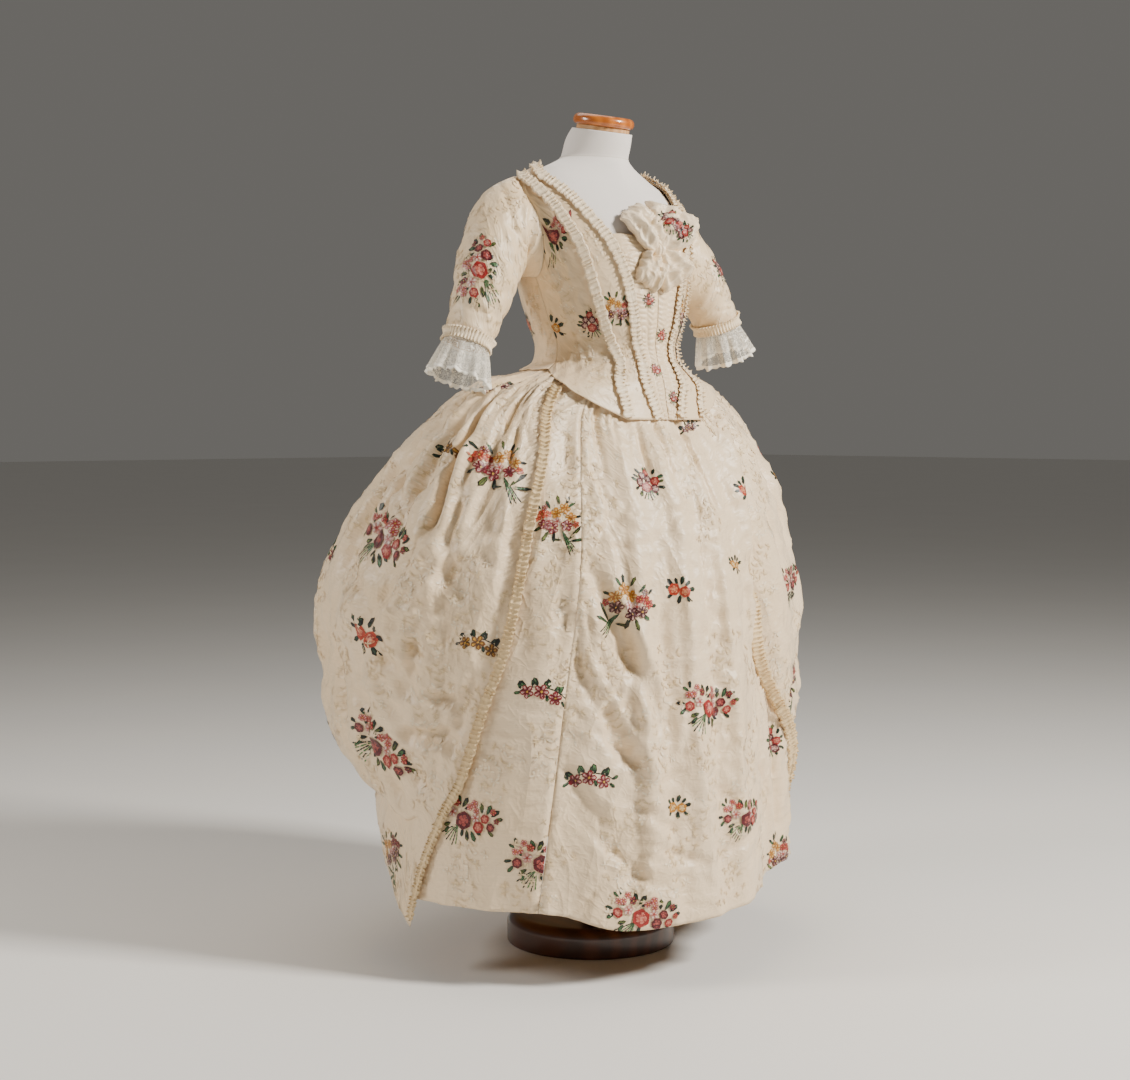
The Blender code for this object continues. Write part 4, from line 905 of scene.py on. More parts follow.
def brocaded(name, sheet, spots, finish=brocade):
    """The woven patches on one cloth piece, as one mesh. Each spot is a motif's name, its angle and
    height on the piece, its turn and its scale. A patch is a fan round its middle; its outline goes
    length (1 - cos t) / 2 along and width sin t to the power of 1 plus its tip across."""
    places, starts, frames = [], [], []
    for kind, angle, height, turn, scale in spots:
        away = ((sheet["angle"] - angle) * sheet["degree"]) ** 2 + (sheet["height"] - height) ** 2
        i, j = np.unravel_index(np.nanargmin(away), away.shape)
        rows = np.array(MOTIFS[kind])
        t = np.radians(turn)
        x, y = rows[:, 0] * scale, rows[:, 1] * scale
        rows[:, 0] = x * np.cos(t) - y * np.sin(t)
        rows[:, 1] = x * np.sin(t) + y * np.cos(t)
        rows[:, 2] += t
        rows[:, 3:5] *= scale
        rows[:, 6:] *= 1.0 if kind in TAN_SPRAYS else DYE_DEPTH
        places.append(rows)
        starts += [(i, j, k) for k in range(len(rows))]
        frame_at = (sheet["u"][i, j], sheet["v"][i, j], *local_frame(sheet, i, j).reshape(-1))
        frames += [frame_at] * len(rows)
    rows, starts, frames = np.concatenate(places), np.array(starts, float), np.array(frames)
    t = np.linspace(0, 2 * np.pi, PATCH_POINTS, endpoint=False)
    x, y, turn, length, width, tip = (rows[:, k][:, None] for k in range(6))
    along = length * (1 - np.cos(t)) / 2
    swell = 1 + 0.45 * (1 - tip) * (2 * along / length - 1)
    across = width / 2 * np.sign(np.sin(t)) * np.abs(np.sin(t)) ** (1 + tip) * swell
    along = np.concatenate([length * 0.5, along], 1)
    across = np.concatenate([0 * length, across], 1)
    x = x + along * np.cos(turn) - across * np.sin(turn)
    y = y + along * np.sin(turn) + across * np.cos(turn)
    u_at, v_at, u_x, u_y, v_x, v_y = (frames[:, k][:, None] for k in range(6))
    u = u_at + u_x * x + u_y * y
    v = v_at + v_x * x + v_y * y
    start_row, start_column = (np.repeat(starts[:, k][:, None], u.shape[1], 1) for k in (0, 1))
    row, column_at = on_cloth(sheet, u, v, start_row, start_column)
    points, normal = on_facets(sheet, row, column_at)
    points = points + normal * (PATCH_LIFT + PATCH_LIFT_STEP * starts[:, 2])[:, None, None]
    edges = points[:, 2:] - points[:, :1]
    size = np.linalg.norm(np.cross(points[:, 1:-1] - points[:, :1], edges), axis=-1).sum(1)
    kept = (size > 0.3 * (length * width)[:, 0]) & (size < 2.5 * (length * width)[:, 0])
    points, normal, u, v, rows = points[kept], normal[kept], u[kept], v[kept], rows[kept]
    count, corners = u.shape
    k = np.arange(1, corners)
    fan = np.stack([np.zeros(corners - 1, int), k, np.roll(k, -1)], 1)
    face = np.cross(points[:, 1] - points[:, 0], points[:, 3] - points[:, 0])
    inward = (face * normal[:, 0]).sum() < 0
    faces = (np.arange(count)[:, None, None] * corners + (fan[:, ::-1] if inward else fan)).reshape(-1, 3)
    made = mesh_object(name, points.reshape(-1, 3), faces.tolist(), finish)
    made.data.uv_layers.new(name="cloth").data.foreach_set(
        "uv", np.stack([u.reshape(-1)[faces], v.reshape(-1)[faces]], -1).reshape(-1))
    colour = np.ones((count, corners, 4))
    colour[:, 0, :3] = (rows[:, 6:9] + rows[:, 9:12]) / 2
    share = (1 - np.cos(t))[None, :, None] / 2
    colour[:, 1:, :3] = rows[:, None, 6:9] * (1 - share) + rows[:, None, 9:12] * share
    thread_colour = made.data.color_attributes.new("thread_colour", "FLOAT_COLOR", "POINT")
    thread_colour.data.foreach_set("color", colour.reshape(-1))
    made.data.normals_split_custom_set_from_vertices(normal.reshape(-1, 3).tolist())
    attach(made, "root")
    return made


def flowered(name, points, normal, finishes, marks, spots, held, rests_on, **more):
    """A cloth piece with its brocading. marks gives the angles and heights of its grid and the metres to a
    degree, by which the spots find their places."""
    piece, sheet = cloth(name + "_silk", points, normal, [name], finishes, **more)
    sheet.update(marks)
    flowers = brocaded(name + "_brocading", sheet, spots)


def lattice(seed, angles, heights, degree, pitch, kinds, taken, clear):
    """Spots on a staggered lattice with seeded shifts and turns, left out near the places taken."""
    draw = np.random.default_rng(seed)
    spots = []
    levels = np.arange(heights[0], heights[1], pitch[1])
    for level, height in enumerate(levels):
        shift = pitch[0] / 2 if level % 2 else 0.0
        for angle in np.arange(angles[0] + shift / degree, angles[1], pitch[0] / degree):
            here = angle + draw.uniform(-0.1, 0.1) * pitch[0] / degree
            there = height + draw.uniform(-0.1, 0.1) * pitch[1]
            turn = draw.uniform(-25, 25)
            kind = kinds[draw.integers(len(kinds))]
            near = [np.hypot((here - spot[1]) * degree, there - spot[2]) for spot in taken]
            if not near or min(near) > clear:
                spots.append((kind, here, there, turn + (180 if draw.random() < 0.15 else 0), 1.0))
    return spots


def on_side(side, spots):
    """Spots turned to one side of the dress, whose angles are positive on its left."""
    return [(kind, side * abs(angle), height, turn, scale) for kind, angle, height, turn, scale in spots]


def tan_sprays(seed, side, angles, heights, degree, pitch, spots, clear, size=1.0):
    """Tan sprays for one side of the dress, on a lattice between the spots that are there already."""
    taken = on_side(1, spots)
    found = lattice(seed, angles, heights, degree, pitch, TAN_SPRAYS, taken, clear)
    return [(kind, side * angle, height, turn, size) for kind, angle, height, turn, _ in found]


# A spot is a motif's name, its angle and height on the piece, its turn in degrees and its scale.
PETTICOAT_SPOTS = (
    ("roses", -4, 0.445, 0, 1.0),
    ("roses", -25, 0.120, -5, 1.0),
    ("lilies", -28, 0.61, 0, 1.0),
    ("lilies_turned", -48, 0.74, -10, 0.9),
    ("dark_roses", 8, 0.255, 0, 0.85),
    ("lilies", 36, 0.15, 10, 0.9),
    ("sprig_coral", -12, 0.63, 0, 1.0),
    ("sprig_coral", 25, 0.785, 15, 1.0),
    ("sprig_yellow", -15, 0.285, 10, 0.85),
    ("sprig_yellow", 12, 0.665, 5, 0.75),
    ("garland_pink", -53, 0.48, -5, 1.0),
    ("garland_pink", -40, 0.345, 5, 1.0),
    ("dark_rose", -16, 0.80, 0, 1.0),
    ("dark_roses", -75, 0.275, 0, 1.0),
    ("dark_rose", 36, 0.35, -10, 1.0),
    ("garland_dark", 11, 0.89, 10, 0.6),
)
COLOURED = ("roses", "lilies", "dark_lilies", "sprig_coral", "sprig_yellow", "garland_gold", "garland_pink",
            "garland_dark", "dark_rose", "red_rose", "dark_roses")
COLOURED_PITCH = (0.20, 0.16)
COLOURED_CLEAR = 0.12
TAN_PITCH = (0.105, 0.150)
TAN_CLEAR = 0.045

# The robe's front edges, height by height. The petticoat lies pressed flat under the left one, and a
# soft ridge of it covers the top of that edge.
EDGE_COLUMNS = ("height", "right", "left")
ROBE_EDGE = (
    (0.066, 98.0, 88.0),
    (0.185, 89.0, 70.0),
    (0.275, 81.0, 57.0),
    (0.333, 75.0, 47.0),
    (0.453, 68.0, 33.0),
    (0.545, 62.0, 27.0),
    (0.716, 56.0, 24.0),
    (0.858, 51.5, 30.0),
    (0.930, 54.0, 42.0),
    (0.995, 61.0, 58.0),
)
RIDGE_RISE = 0.015
RIDGE_DEGREES = 4.5
RIDGE_AHEAD = 1.0
PRESSED = 0.0025
PETTICOAT_RUMPLES = (
    (11, 1.7, 0.5, 0.20, 0.0050, 0.40, None, None),
    (12, 1.3, 0.8, 0.08, 0.0010, 0.40, None, None),
    (14, 0.8, 1.5, 0.06, 0.0040, 0.35, 15, 0.40),
)
PETTICOAT_GATHERS = (0.0022, 4.2, 0.86, 0.95)
PUCKER_RISE = 0.0042
PUCKER_SIZE = 0.022
PUCKER_REACH = 0.030
# Each panel's name, its two edges, which are a seam's name or an angle, and its steps across.
PETTICOAT_PANELS = (
    ("petticoat_front", "right", "left", 126),
    ("petticoat_left", "left", 150.0, 46),
    ("petticoat_back", 150.0, 210.0, 30),
    ("petticoat_right", -150.0, "right", 46),
)
PETTICOAT_ROWS = 156
SKIRT_DEGREE = np.radians(1) * SKIRT_RADIUS


def edge_at(height, side):
    """The angle of the robe's front edge at heights, on the side named."""
    return smooth(height, column(ROBE_EDGE, EDGE_COLUMNS, "height"), column(ROBE_EDGE, EDGE_COLUMNS, side))


rows = np.linspace(PETTICOAT_SEAMS[0][0], PETTICOAT_TOP, PETTICOAT_ROWS + 1)[:, None]
known = column(PETTICOAT_SEAMS, SEAM_LINES, "height")
seam_at = {side: smooth(rows, known, column(PETTICOAT_SEAMS, SEAM_LINES, side)) for side in ("right", "left")}
small_creases = scattered(3, 200, (-55, 55), (0.13, 0.82), SKIRT_RADIUS, (0.05, 0.17), (0.005, 0.010),
                          (0.0012, 0.0036), 60)
for name, start, end, steps in PETTICOAT_PANELS:
    start = seam_at.get(start, start) + SEAM_DEGREES / 4
    end = seam_at.get(end, end) - SEAM_DEGREES / 4
    share = np.linspace(0, 1, steps + 1)
    angle = start * (1 - share) + end * share
    hem = smooth(angle[:1], *(column(PETTICOAT_HEM, HEM_LINE, part) for part in HEM_LINE))
    height = hem + (PETTICOAT_TOP - hem) * np.linspace(0, 1, PETTICOAT_ROWS + 1)[:, None]
    angle = angle + 0 * height
    wrapped = np.where(angle > 180, angle - 360, angle)
    points = petticoat_skin(wrapped, height)
    normal = outward(points)
    push = creases(wrapped, height, SKIRT_RADIUS, PETTICOAT_CREASES)
    push += creases(wrapped, height, SKIRT_RADIUS, small_creases)
    push += rumples(PETTICOAT_RUMPLES, np.radians(angle) * SKIRT_RADIUS, height)
    push += waist_gathers(angle, height, *PETTICOAT_GATHERS)
    past_edge = wrapped - edge_at(height, "left")
    under = ease(past_edge, -2, 2) * (1 - ease(wrapped, 150, 170)) * ease(height, 0.20, 0.30)
    push = push * (1 - 0.9 * under) - PRESSED * under
    ridge = RIDGE_RISE * np.exp(-(((past_edge + RIDGE_AHEAD) / RIDGE_DEGREES) ** 2))
    push += ridge * ease(height, 0.63, 0.72) * (1 - ease(height, 0.90, 0.955))
    from_seam = np.minimum(angle - start, end - angle) * SKIRT_DEGREE
    pucker = PUCKER_RISE * (rumple(13, from_seam * 0.30, height, PUCKER_SIZE) - 0.3)
    pucker = pucker * np.exp(-((from_seam / PUCKER_REACH) ** 2)) * ease(from_seam, 0, 0.002)
    push = push * ease(from_seam, 0, 0.012) * (1 - ease(height, 0.955, 0.985)) + pucker
    base = points + normal * SILK_THICK
    points = base + normal * push[..., None]
    marked = angle if name == "petticoat_back" else wrapped
    low, high = marked.min() + 1, marked.max() - 1
    at = [spot[2] for spot in PETTICOAT_SPOTS]
    ends = [np.interp(at, rows[:, 0], np.broadcast_to(side, rows.shape)[:, 0]) for side in (start, end)]
    chosen = [spot for spot, near, far in zip(PETTICOAT_SPOTS, *ends) if near < spot[1] < far]
    if name != "petticoat_front":
        chosen += lattice(21, (low, high), (0.20, 0.90), SKIRT_DEGREE, COLOURED_PITCH, COLOURED,
                          PETTICOAT_SPOTS, COLOURED_CLEAR)
    chosen += lattice(22, (low, high), (0.18, 0.95), SKIRT_DEGREE, TAN_PITCH, TAN_SPRAYS, chosen, TAN_CLEAR)
    flowered(name, points, outward(points), [skirt_silk, silk_back],
             {"angle": marked, "height": height, "degree": SKIRT_DEGREE}, chosen, "gathered", ["form_torso"],
             flat_from=base)


# The robe's skirts: two halves of the same brocaded silk, pleated into the bodice and looped up
# behind into puffs whose lining side turns under. The silk is creased hard where the loops hold it.
ROBE_SECTIONS = (
    (0.060, 0.385, 0.330, 0.400, 0.000, 2.0),
    (0.300, 0.388, 0.330, 0.420, 0.000, 2.0),
    (0.360, 0.410, 0.328, 0.450, 0.000, 2.0),
    (0.420, 0.425, 0.322, 0.470, 0.000, 2.0),
    (0.500, 0.420, 0.310, 0.475, 0.000, 2.0),
    (0.580, 0.427, 0.293, 0.485, 0.000, 2.0),
    (0.630, 0.420, 0.285, 0.485, -0.005, 2.0),
    (0.695, 0.402, 0.270, 0.455, -0.008, 2.0),
    (0.765, 0.378, 0.248, 0.405, -0.014, 2.0),
    (0.800, 0.362, 0.230, 0.375, -0.017, 2.0),
    (0.860, 0.330, 0.191, 0.325, -0.024, 2.0),
    (0.905, 0.298, 0.157, 0.270, -0.030, 2.0),
    (0.930, 0.272, 0.149, 0.240, -0.030, 2.0),
    (0.956, 0.237, 0.143, 0.190, -0.030, 2.0),
    (0.975, 0.172, 0.136, 0.154, -0.030, 2.0),
    (0.995, 0.120, 0.128, 0.119, -0.030, 2.0),
)
PUFF_COLUMNS = ("share", "lip_height", "turn_radius", "hem_height")
ROBE_PUFF = (
    (0.00, 0.300, 0.012, 0.078),
    (0.08, 0.275, 0.012, 0.092),
    (0.16, 0.255, 0.014, 0.115),
    (0.27, 0.280, 0.020, 0.150),
    (0.40, 0.292, 0.026, 0.195),
    (0.50, 0.300, 0.028, 0.225),
    (0.62, 0.340, 0.030, 0.240),
    (0.80, 0.300, 0.032, 0.240),
    (1.00, 0.345, 0.030, 0.240),
)
ROBE_TOP = 0.995
ROBE_PLEATS = 6
ROBE_PLEAT_DEPTH = 0.007
ROBE_CORNER = 0.04
SKIRT_CLEAR = 0.0051
FOLD_CLEAR = 0.008
FOLD_CLEAR_WIDTH = 15.0
EDGE_CLEAR = 0.0012
BALLOON_DEGREES = 38.0
TAIL_FULLNESS = (0.06, 0.30, 0.45, 0.30)
TAIL_SHARES = (0.0, 0.28, 0.62, 1.0)
ROBE_OUTER_ROWS = 104
ROBE_TURN_ROWS = 12
ROBE_TAIL_ROWS = 18
ROBE_STEPS = 132
ROBE_RADIUS = 0.40


def square_to_middle(normal):
    """The same normals, with the last column's kept in the dress's middle plane."""
    normal = normal.copy()
    normal[:, -1, 0] = 0
    return unit(normal)


def robe_skin(angle, height, full, tuck):
    """The robe's inside: just off the petticoat where full is 0 and out at the puff where it is 1, and
    closer where tuck is 1."""
    near = petticoat_skin(angle, height)
    clear = SKIRT_CLEAR + FOLD_CLEAR * np.exp(-(((angle - FOLD_ANGLE) / FOLD_CLEAR_WIDTH) ** 2))
    clear = clear * (1 - tuck) + EDGE_CLEAR * tuck
    near = near + unit(near * (1, 1, 0)) * clear[..., None]
    puff = round_form(ROBE_SECTIONS, angle, height, ROBE_CORNER * ease(-height, -0.95, -0.85))
    return near * (1 - full[..., None]) + puff * full[..., None]


def robe_rows(share):
    """Heights and fullness down the skirt: out over the puff, in round its fold in a half circle, and
    down to the hem. Near its front edge the skirt falls straight."""
    known = column(ROBE_PUFF, PUFF_COLUMNS, "share")
    lip, radius, hem = (
        smooth(share, known, column(ROBE_PUFF, PUFF_COLUMNS, name)) for name in PUFF_COLUMNS[1:]
    )
    down = np.linspace(0, 1, ROBE_OUTER_ROWS + 1)[:, None] ** 0.9
    outer = ROBE_TOP + (lip + radius - ROBE_TOP) * down
    turn = np.radians(np.linspace(0, 180, ROBE_TURN_ROWS + 1)[1:, None])
    fold = lip + radius - radius * np.sin(turn)
    fold_full = 1 - (1 - TAIL_FULLNESS[0]) * (1 - np.cos(turn)) / 2 + 0 * share
    at = np.linspace(0, 1, ROBE_TAIL_ROWS)[:, None]
    fall = lip + 0.8 * radius - (lip + 0.8 * radius - hem) * at
    fall_full = smooth(at, np.array(TAIL_SHARES), np.array(TAIL_FULLNESS)) + 0 * share
    height = np.concatenate([outer, fold, fall])
    full = np.concatenate([np.ones_like(outer), fold_full, fall_full])
    folded = ease(share, 0.03, 0.14)
    straight = ROBE_TOP + (hem - ROBE_TOP) * np.linspace(0, 1, len(height))[:, None]
    return height * folded + straight * (1 - folded), full


ROBE_RIGHT_CREASES = (
    (-84.5, 0.935, -83.5, 0.720, 0.0146, 0.0319),
    (-104.6, 0.860, -105.4, 0.740, 0.0134, 0.0247),
    (-71.1, 0.958, -68.0, 0.880, 0.0101, 0.013),
    (-64.0, 0.930, -62.0, 0.780, 0.0123, 0.0116),
    (-94.0, 0.930, -96.0, 0.700, 0.0134, 0.0174),
    (-76.0, 0.880, -79.0, 0.590, 0.0179, 0.0145),
    (-112.0, 0.860, -114.0, 0.620, 0.0168, 0.0174),
    (-95.0, 0.395, -76.0, 0.402, 0.0168, 0.0174),
    (-100.0, 0.585, -88.0, 0.440, 0.019, 0.0159),
    (-83.0, 0.640, -91.0, 0.455, 0.0179, 0.0145),
    (-70.0, 0.520, -79.0, 0.355, 0.0157, 0.013),
    (-101.0, 0.480, -106.0, 0.325, 0.0168, 0.0174),
    (-61.5, 0.720, -66.0, 0.450, 0.0146, 0.0087),
    (-97.0, 0.345, -84.0, 0.300, 0.0123, 0.0116),
    (-117.0, 0.600, -112.0, 0.370, 0.019, 0.0174),
    (-90.0, 0.560, -84.0, 0.520, 0.0112, 0.0087),
    (-107.0, 0.660, -99.0, 0.610, 0.0123, 0.0101),
    (-74.0, 0.450, -86.0, 0.470, 0.0134, 0.0116),
    (-126.0, 0.880, -129.0, 0.560, 0.0202, 0.0203),
    (-140.0, 0.900, -143.0, 0.600, 0.019, 0.0174),
    (-154.0, 0.890, -152.0, 0.550, 0.0202, 0.0203),
    (-168.0, 0.900, -167.0, 0.520, 0.0202, 0.0174),
    (-128.0, 0.500, -138.0, 0.360, 0.0179, 0.0174),
    (-160.0, 0.520, -148.0, 0.380, 0.0179, 0.0174),
    (-174.0, 0.560, -166.0, 0.400, 0.0157, 0.0145),
    (-80.0, 0.955, -124.0, 0.760, 0.0130, 0.0090),
    (-73.0, 0.945, -116.0, 0.640, 0.0135, 0.0095),
    (-68.0, 0.930, -104.0, 0.520, 0.0140, 0.0090),
    (-64.0, 0.900, -92.0, 0.500, 0.0130, -0.0080),
)
ROBE_LEFT_CREASES = (
    (46.0, 0.900, 52.0, 0.640, 0.0157, 0.0135),
    (37.0, 0.800, 43.0, 0.560, 0.0134, 0.0081),
    (60.0, 0.900, 63.0, 0.560, 0.0168, 0.0162),
    (50.0, 0.520, 46.0, 0.350, 0.0146, 0.0108),
    (55.0, 0.420, 47.0, 0.480, 0.0134, 0.0108),
    (74.0, 0.930, 77.0, 0.700, 0.0157, 0.0243),
    (88.0, 0.900, 91.0, 0.640, 0.0157, 0.0162),
    (101.0, 0.870, 104.0, 0.720, 0.0146, 0.0216),
    (71.0, 0.560, 80.0, 0.400, 0.0179, 0.0162),
    (96.0, 0.560, 86.0, 0.380, 0.0179, 0.0149),
    (112.0, 0.600, 104.0, 0.370, 0.019, 0.0162),
    (118.0, 0.880, 121.0, 0.600, 0.019, 0.0162),
    (133.0, 0.890, 136.0, 0.560, 0.0202, 0.0175),
    (149.0, 0.890, 147.0, 0.600, 0.019, 0.0175),
    (164.0, 0.900, 165.0, 0.540, 0.0202, 0.0162),
    (126.0, 0.500, 138.0, 0.370, 0.0179, 0.0162),
    (158.0, 0.520, 146.0, 0.380, 0.0179, 0.0162),
    (172.0, 0.540, 165.0, 0.400, 0.0157, 0.0135),
)
ROBE_SPOTS = {
    "right": (
        ("lilies_turned", -65.7, 0.823, 0, 1.0),
        ("dark_roses", -100.5, 0.715, 0, 1.25),
        ("sprig_coral", -100.6, 0.556, 0, 1.5),
        ("garland_gold", -70, 0.553, -5, 0.95),
        ("dark_roses", -101.0, 0.372, -22, 1.2),
        ("garland_gold", -90.7, 0.86, 8, 0.95),
        ("garland_dark", -91.3, 0.962, 15, 0.8),
    ),
    "left": (
        ("roses", 46.9, 0.619, 0, 0.9),
        ("lilies", 51.6, 0.429, 10, 0.9),
        ("garland_gold", 58, 0.80, 0, 0.8),
    ),
}
TAIL_SPOTS = {"right": (("dark_lilies", -108.4, 0.188, 60, 0.9),), "left": ()}
ROBE_DEGREE = SKIRT_DEGREE * 1.1
PART_MARGIN = 4
ROBE_COLOURED_FROM = {"right": 128, "left": 66}
ROBE_TAN_FROM = {"right": 56, "left": 30}
# Ruffle silk. A ruffle's wrong side is a darker gold: partly the back of the silk and partly painted shade,
# as it is what shows in the gaps between the pleats.
trim_silk = silk("ruffle_silk", "F3E2C6", "E6CFA8", 0.42, 0.0012)
trim_back_and_shade = silk("ruffle_silk_back_and_painted_shade", "EDD5AC", "DDBB84", 0.5, 0.0012)
# The robe's edge ruffles are of a more golden silk than the skirt's.
edge_silk = silk("golden_ruffle_silk", "EBD3A8", "D9B985", 0.42, 0.0012)
edge_back_and_shade = silk("golden_ruffle_silk_back_and_painted_shade", "DDBE8A", "C9A264", 0.5, 0.0012)

# A ruffle's points lie at these shares from its middle to its edges, and so many to a pleat. Its pleats
# wander in radians of their turn, vary in rise by a share of it and lean by a share of their pitch.
RUFFLE_SHARES = (-1, -0.62, -0.16, 0.16, 0.62, 1)
PLEAT_POINTS = 8
WANDER_POINTS = 14
UNEVEN_WANDER = 1.7
UNEVEN_RISE = 0.26
PLEAT_LEAN = 0.27
TRIM_THICK = 0.0005


def ruffle(name, points, normal, line, span, lift, width, pitch, rise, seed, node, finishes, turned=0.0,
           tucked=None):
    """A strip gathered along its middle: fine pleats whose rise grows toward both edges with the share
    from the middle to the power 1.3, and which lean over one another. Its middle follows one column
    line of a grid, on equal lengths. Where it is turned, it stands up from the cloth to face forward.
    Between the two heights in tucked, it flattens and narrows, since it runs under another fold there."""
    sample = np.linspace(*span, 500)
    grid = {"u": points[..., 0], "points": points, "normal": normal}
    middle, out = on_facets(grid, sample, np.full(500, float(line)))
    run = np.append(0, np.cumsum(np.linalg.norm(np.diff(middle, axis=0), axis=1)))
    count = int(run[-1] / pitch) * PLEAT_POINTS + 1
    along = np.linspace(0, run[-1], count)
    middle = np.stack([np.interp(along, run, middle[:, k]) for k in range(3)], 1)
    out = unit(np.stack([np.interp(along, run, out[:, k]) for k in range(3)], 1))
    forward = unit(np.gradient(middle, axis=0))
    sideways = unit(np.cross(out, forward))
    free = np.ones((count, 1)) if tucked is None else 1 - ease(middle[:, 2:], *tucked)
    ahead = sideways * np.sign(np.sum(sideways * (0, -1, 0), axis=1, keepdims=True))
    turned = np.radians(turned) * free
    middle = middle + out * (width / 2 * np.sin(turned))
    out = unit(out * np.cos(turned) + ahead * np.sin(turned))
    sideways = unit(np.cross(out, forward))
    width = width * (0.3 + 0.7 * free)
    draw = np.random.default_rng(seed)
    few = count // WANDER_POINTS
    wander = np.interp(along, np.linspace(0, run[-1], few), draw.normal(0, UNEVEN_WANDER, few))
    turn = 2 * np.pi * along / pitch + wander
    pleats = count // PLEAT_POINTS
    uneven = 1 + np.interp(along, np.linspace(0, run[-1], pleats), draw.normal(0, UNEVEN_RISE, pleats))
    share = np.array(RUFFLE_SHARES)[None, :]
    reach = rise * (0.2 + 0.8 * free) * uneven[:, None] * (0.18 + 0.82 * np.abs(share) ** 1.3)
    wave = reach * ((0.5 - 0.5 * np.cos(turn)) ** 0.75)[:, None]
    lean = PLEAT_LEAN * pitch * np.sin(turn)[:, None] * np.abs(share)
    half = width / 2 * (1 + 0.10 * np.cos(turn)[:, None] + 0.13 * np.sin(turn * 0.37)[:, None]) * share
    strip = (middle[:, None] + sideways[:, None] * half[..., None] + forward[:, None] * lean[..., None]
             + out[:, None] * (lift + wave)[..., None])
    return cloth(name, strip, np.repeat(out[:, None], len(RUFFLE_SHARES), 1), [node], finishes,
                 slot="trim_silk", thick=TRIM_THICK)


SIDES = ((-1, "right"), (1, "left"))
EDGE_RUFFLE_WIDTH = {"right": 0.0165, "left": 0.022}
EDGE_RUFFLE_TURN = {"right": 0.0, "left": 48.0}
EDGE_RUFFLE_TUCKED = {"right": None, "left": (0.585, 0.64)}
EDGE_RUFFLE_START = {"right": 0.042, "left": 0.084}
EDGE_RUFFLE_END = 0.984
EDGE_RUFFLE_LIFT = {"right": 0.0025, "left": 0.0020}
EDGE_RUFFLE_ACROSS = 0.005
EDGE_RUFFLE_PITCH = 0.0076
EDGE_RUFFLE_RISE = 0.0048
ROBE_RUMPLES = (
    (41, 1.5, 0.7, 0.260, 0.0090, 0.40, None, None),
    (43, 1.2, 0.9, 0.100, 0.0018, 0.40, None, None),
    (46, 0.9, 1.3, 0.075, 0.0052, 0.35, 48, 0.45),
)
ROBE_GATHERS = (0.0025, 3.1, 0.88, 0.96)
steps = np.linspace(0, 1, ROBE_STEPS + 1)
share = steps**1.15
for side, label in SIDES:
    height, full = robe_rows(share)
    edge = edge_at(height, label)
    angle = edge + (180 - SEAM_DEGREES / 4 - edge) * share
    full = full * ease(angle - edge, 0, BALLOON_DEGREES)
    tuck = 1 - ease(angle - edge, 1, 12) if side > 0 else 0 * height
    points = robe_skin(side * angle, height, full, tuck)
    depth = ROBE_PLEAT_DEPTH * ease(-height, -0.985, -0.80) * (1 - ease(-height, -0.62, -0.40))
    pleat = depth * (1 - np.cos(2 * np.pi * ROBE_PLEATS * steps)) / 2 * ease(angle - edge, 2, 12)
    base_normal = square_to_middle(outward(points))
    base = points + base_normal * (SILK_THICK + pleat[..., None])
    push = creases(side * angle, height, ROBE_RADIUS, ROBE_RIGHT_CREASES if side < 0 else ROBE_LEFT_CREASES)
    small = scattered(31 + side, 170, (58, 176), (0.30, 0.90), ROBE_RADIUS, (0.09, 0.26), (0.007, 0.013),
                      (0.0018, 0.0046), 70)
    push += creases(angle, height, ROBE_RADIUS, small)
    push += rumples(ROBE_RUMPLES, np.radians(angle) * ROBE_RADIUS, height, side)
    push += waist_gathers(angle, height, *ROBE_GATHERS)
    row = np.arange(len(height))[:, None]
    outer_part = 1 - ease(row, ROBE_OUTER_ROWS, ROBE_OUTER_ROWS + ROBE_TURN_ROWS / 2)
    tail_part = ease(row, ROBE_OUTER_ROWS + ROBE_TURN_ROWS, len(height) - 1)
    held_in = ease(angle - edge, 1, 9) * ease(1 - steps, 0, 0.03) * (1 - ease(height, 0.962, 0.990))
    push = push * held_in * (outer_part + 0.35 * tail_part)
    surface = base + base_normal * push[..., None]
    piece, sheet = cloth(f"robe_skirt_{label}_silk", surface, square_to_middle(outward(surface)),
                         [f"robe_skirt_{label}"], [skirt_silk, silk_back], flat_from=base)
    sheet.update(angle=side * angle, height=height, degree=SKIRT_DEGREE)
    outer_spots = list(ROBE_SPOTS[label])
    outer_spots += lattice(51 + side, (ROBE_COLOURED_FROM[label], 176), (0.36, 0.93), ROBE_DEGREE,
                           COLOURED_PITCH, COLOURED, on_side(1, outer_spots), COLOURED_CLEAR)
    flowers = []
    tail_start = ROBE_OUTER_ROWS + ROBE_TURN_ROWS + PART_MARGIN
    for part, first, last, levels, spots in (
            ("", 0, ROBE_OUTER_ROWS + PART_MARGIN, (0.33, 0.96), outer_spots),
            ("_tail", tail_start, len(height), (0.14, 0.27), TAIL_SPOTS[label])):
        cut = {key: value[first:last] for key, value in sheet.items() if isinstance(value, np.ndarray)}
        cut["degree"] = sheet["degree"]
        spots = on_side(side, spots)
        spots += tan_sprays(53 + side, side, (ROBE_TAN_FROM[label], 177), levels, ROBE_DEGREE, TAN_PITCH,
                            spots, TAN_CLEAR)
        flowers.append(brocaded(f"robe_skirt_{label}{part}_brocading", cut, spots))
    last = len(height) - 1
    span = (EDGE_RUFFLE_START[label] * last, EDGE_RUFFLE_END * last)
    piece, sheet = ruffle(f"robe_edge_ruffle_{label}_silk", base, base_normal,
                          EDGE_RUFFLE_ACROSS * ROBE_STEPS, span, EDGE_RUFFLE_LIFT[label],
                          EDGE_RUFFLE_WIDTH[label], EDGE_RUFFLE_PITCH, EDGE_RUFFLE_RISE, 61 + side,
                          f"robe_edge_ruffle_{label}", [edge_silk, edge_back_and_shade], EDGE_RUFFLE_TURN[label],
                          EDGE_RUFFLE_TUCKED[label])


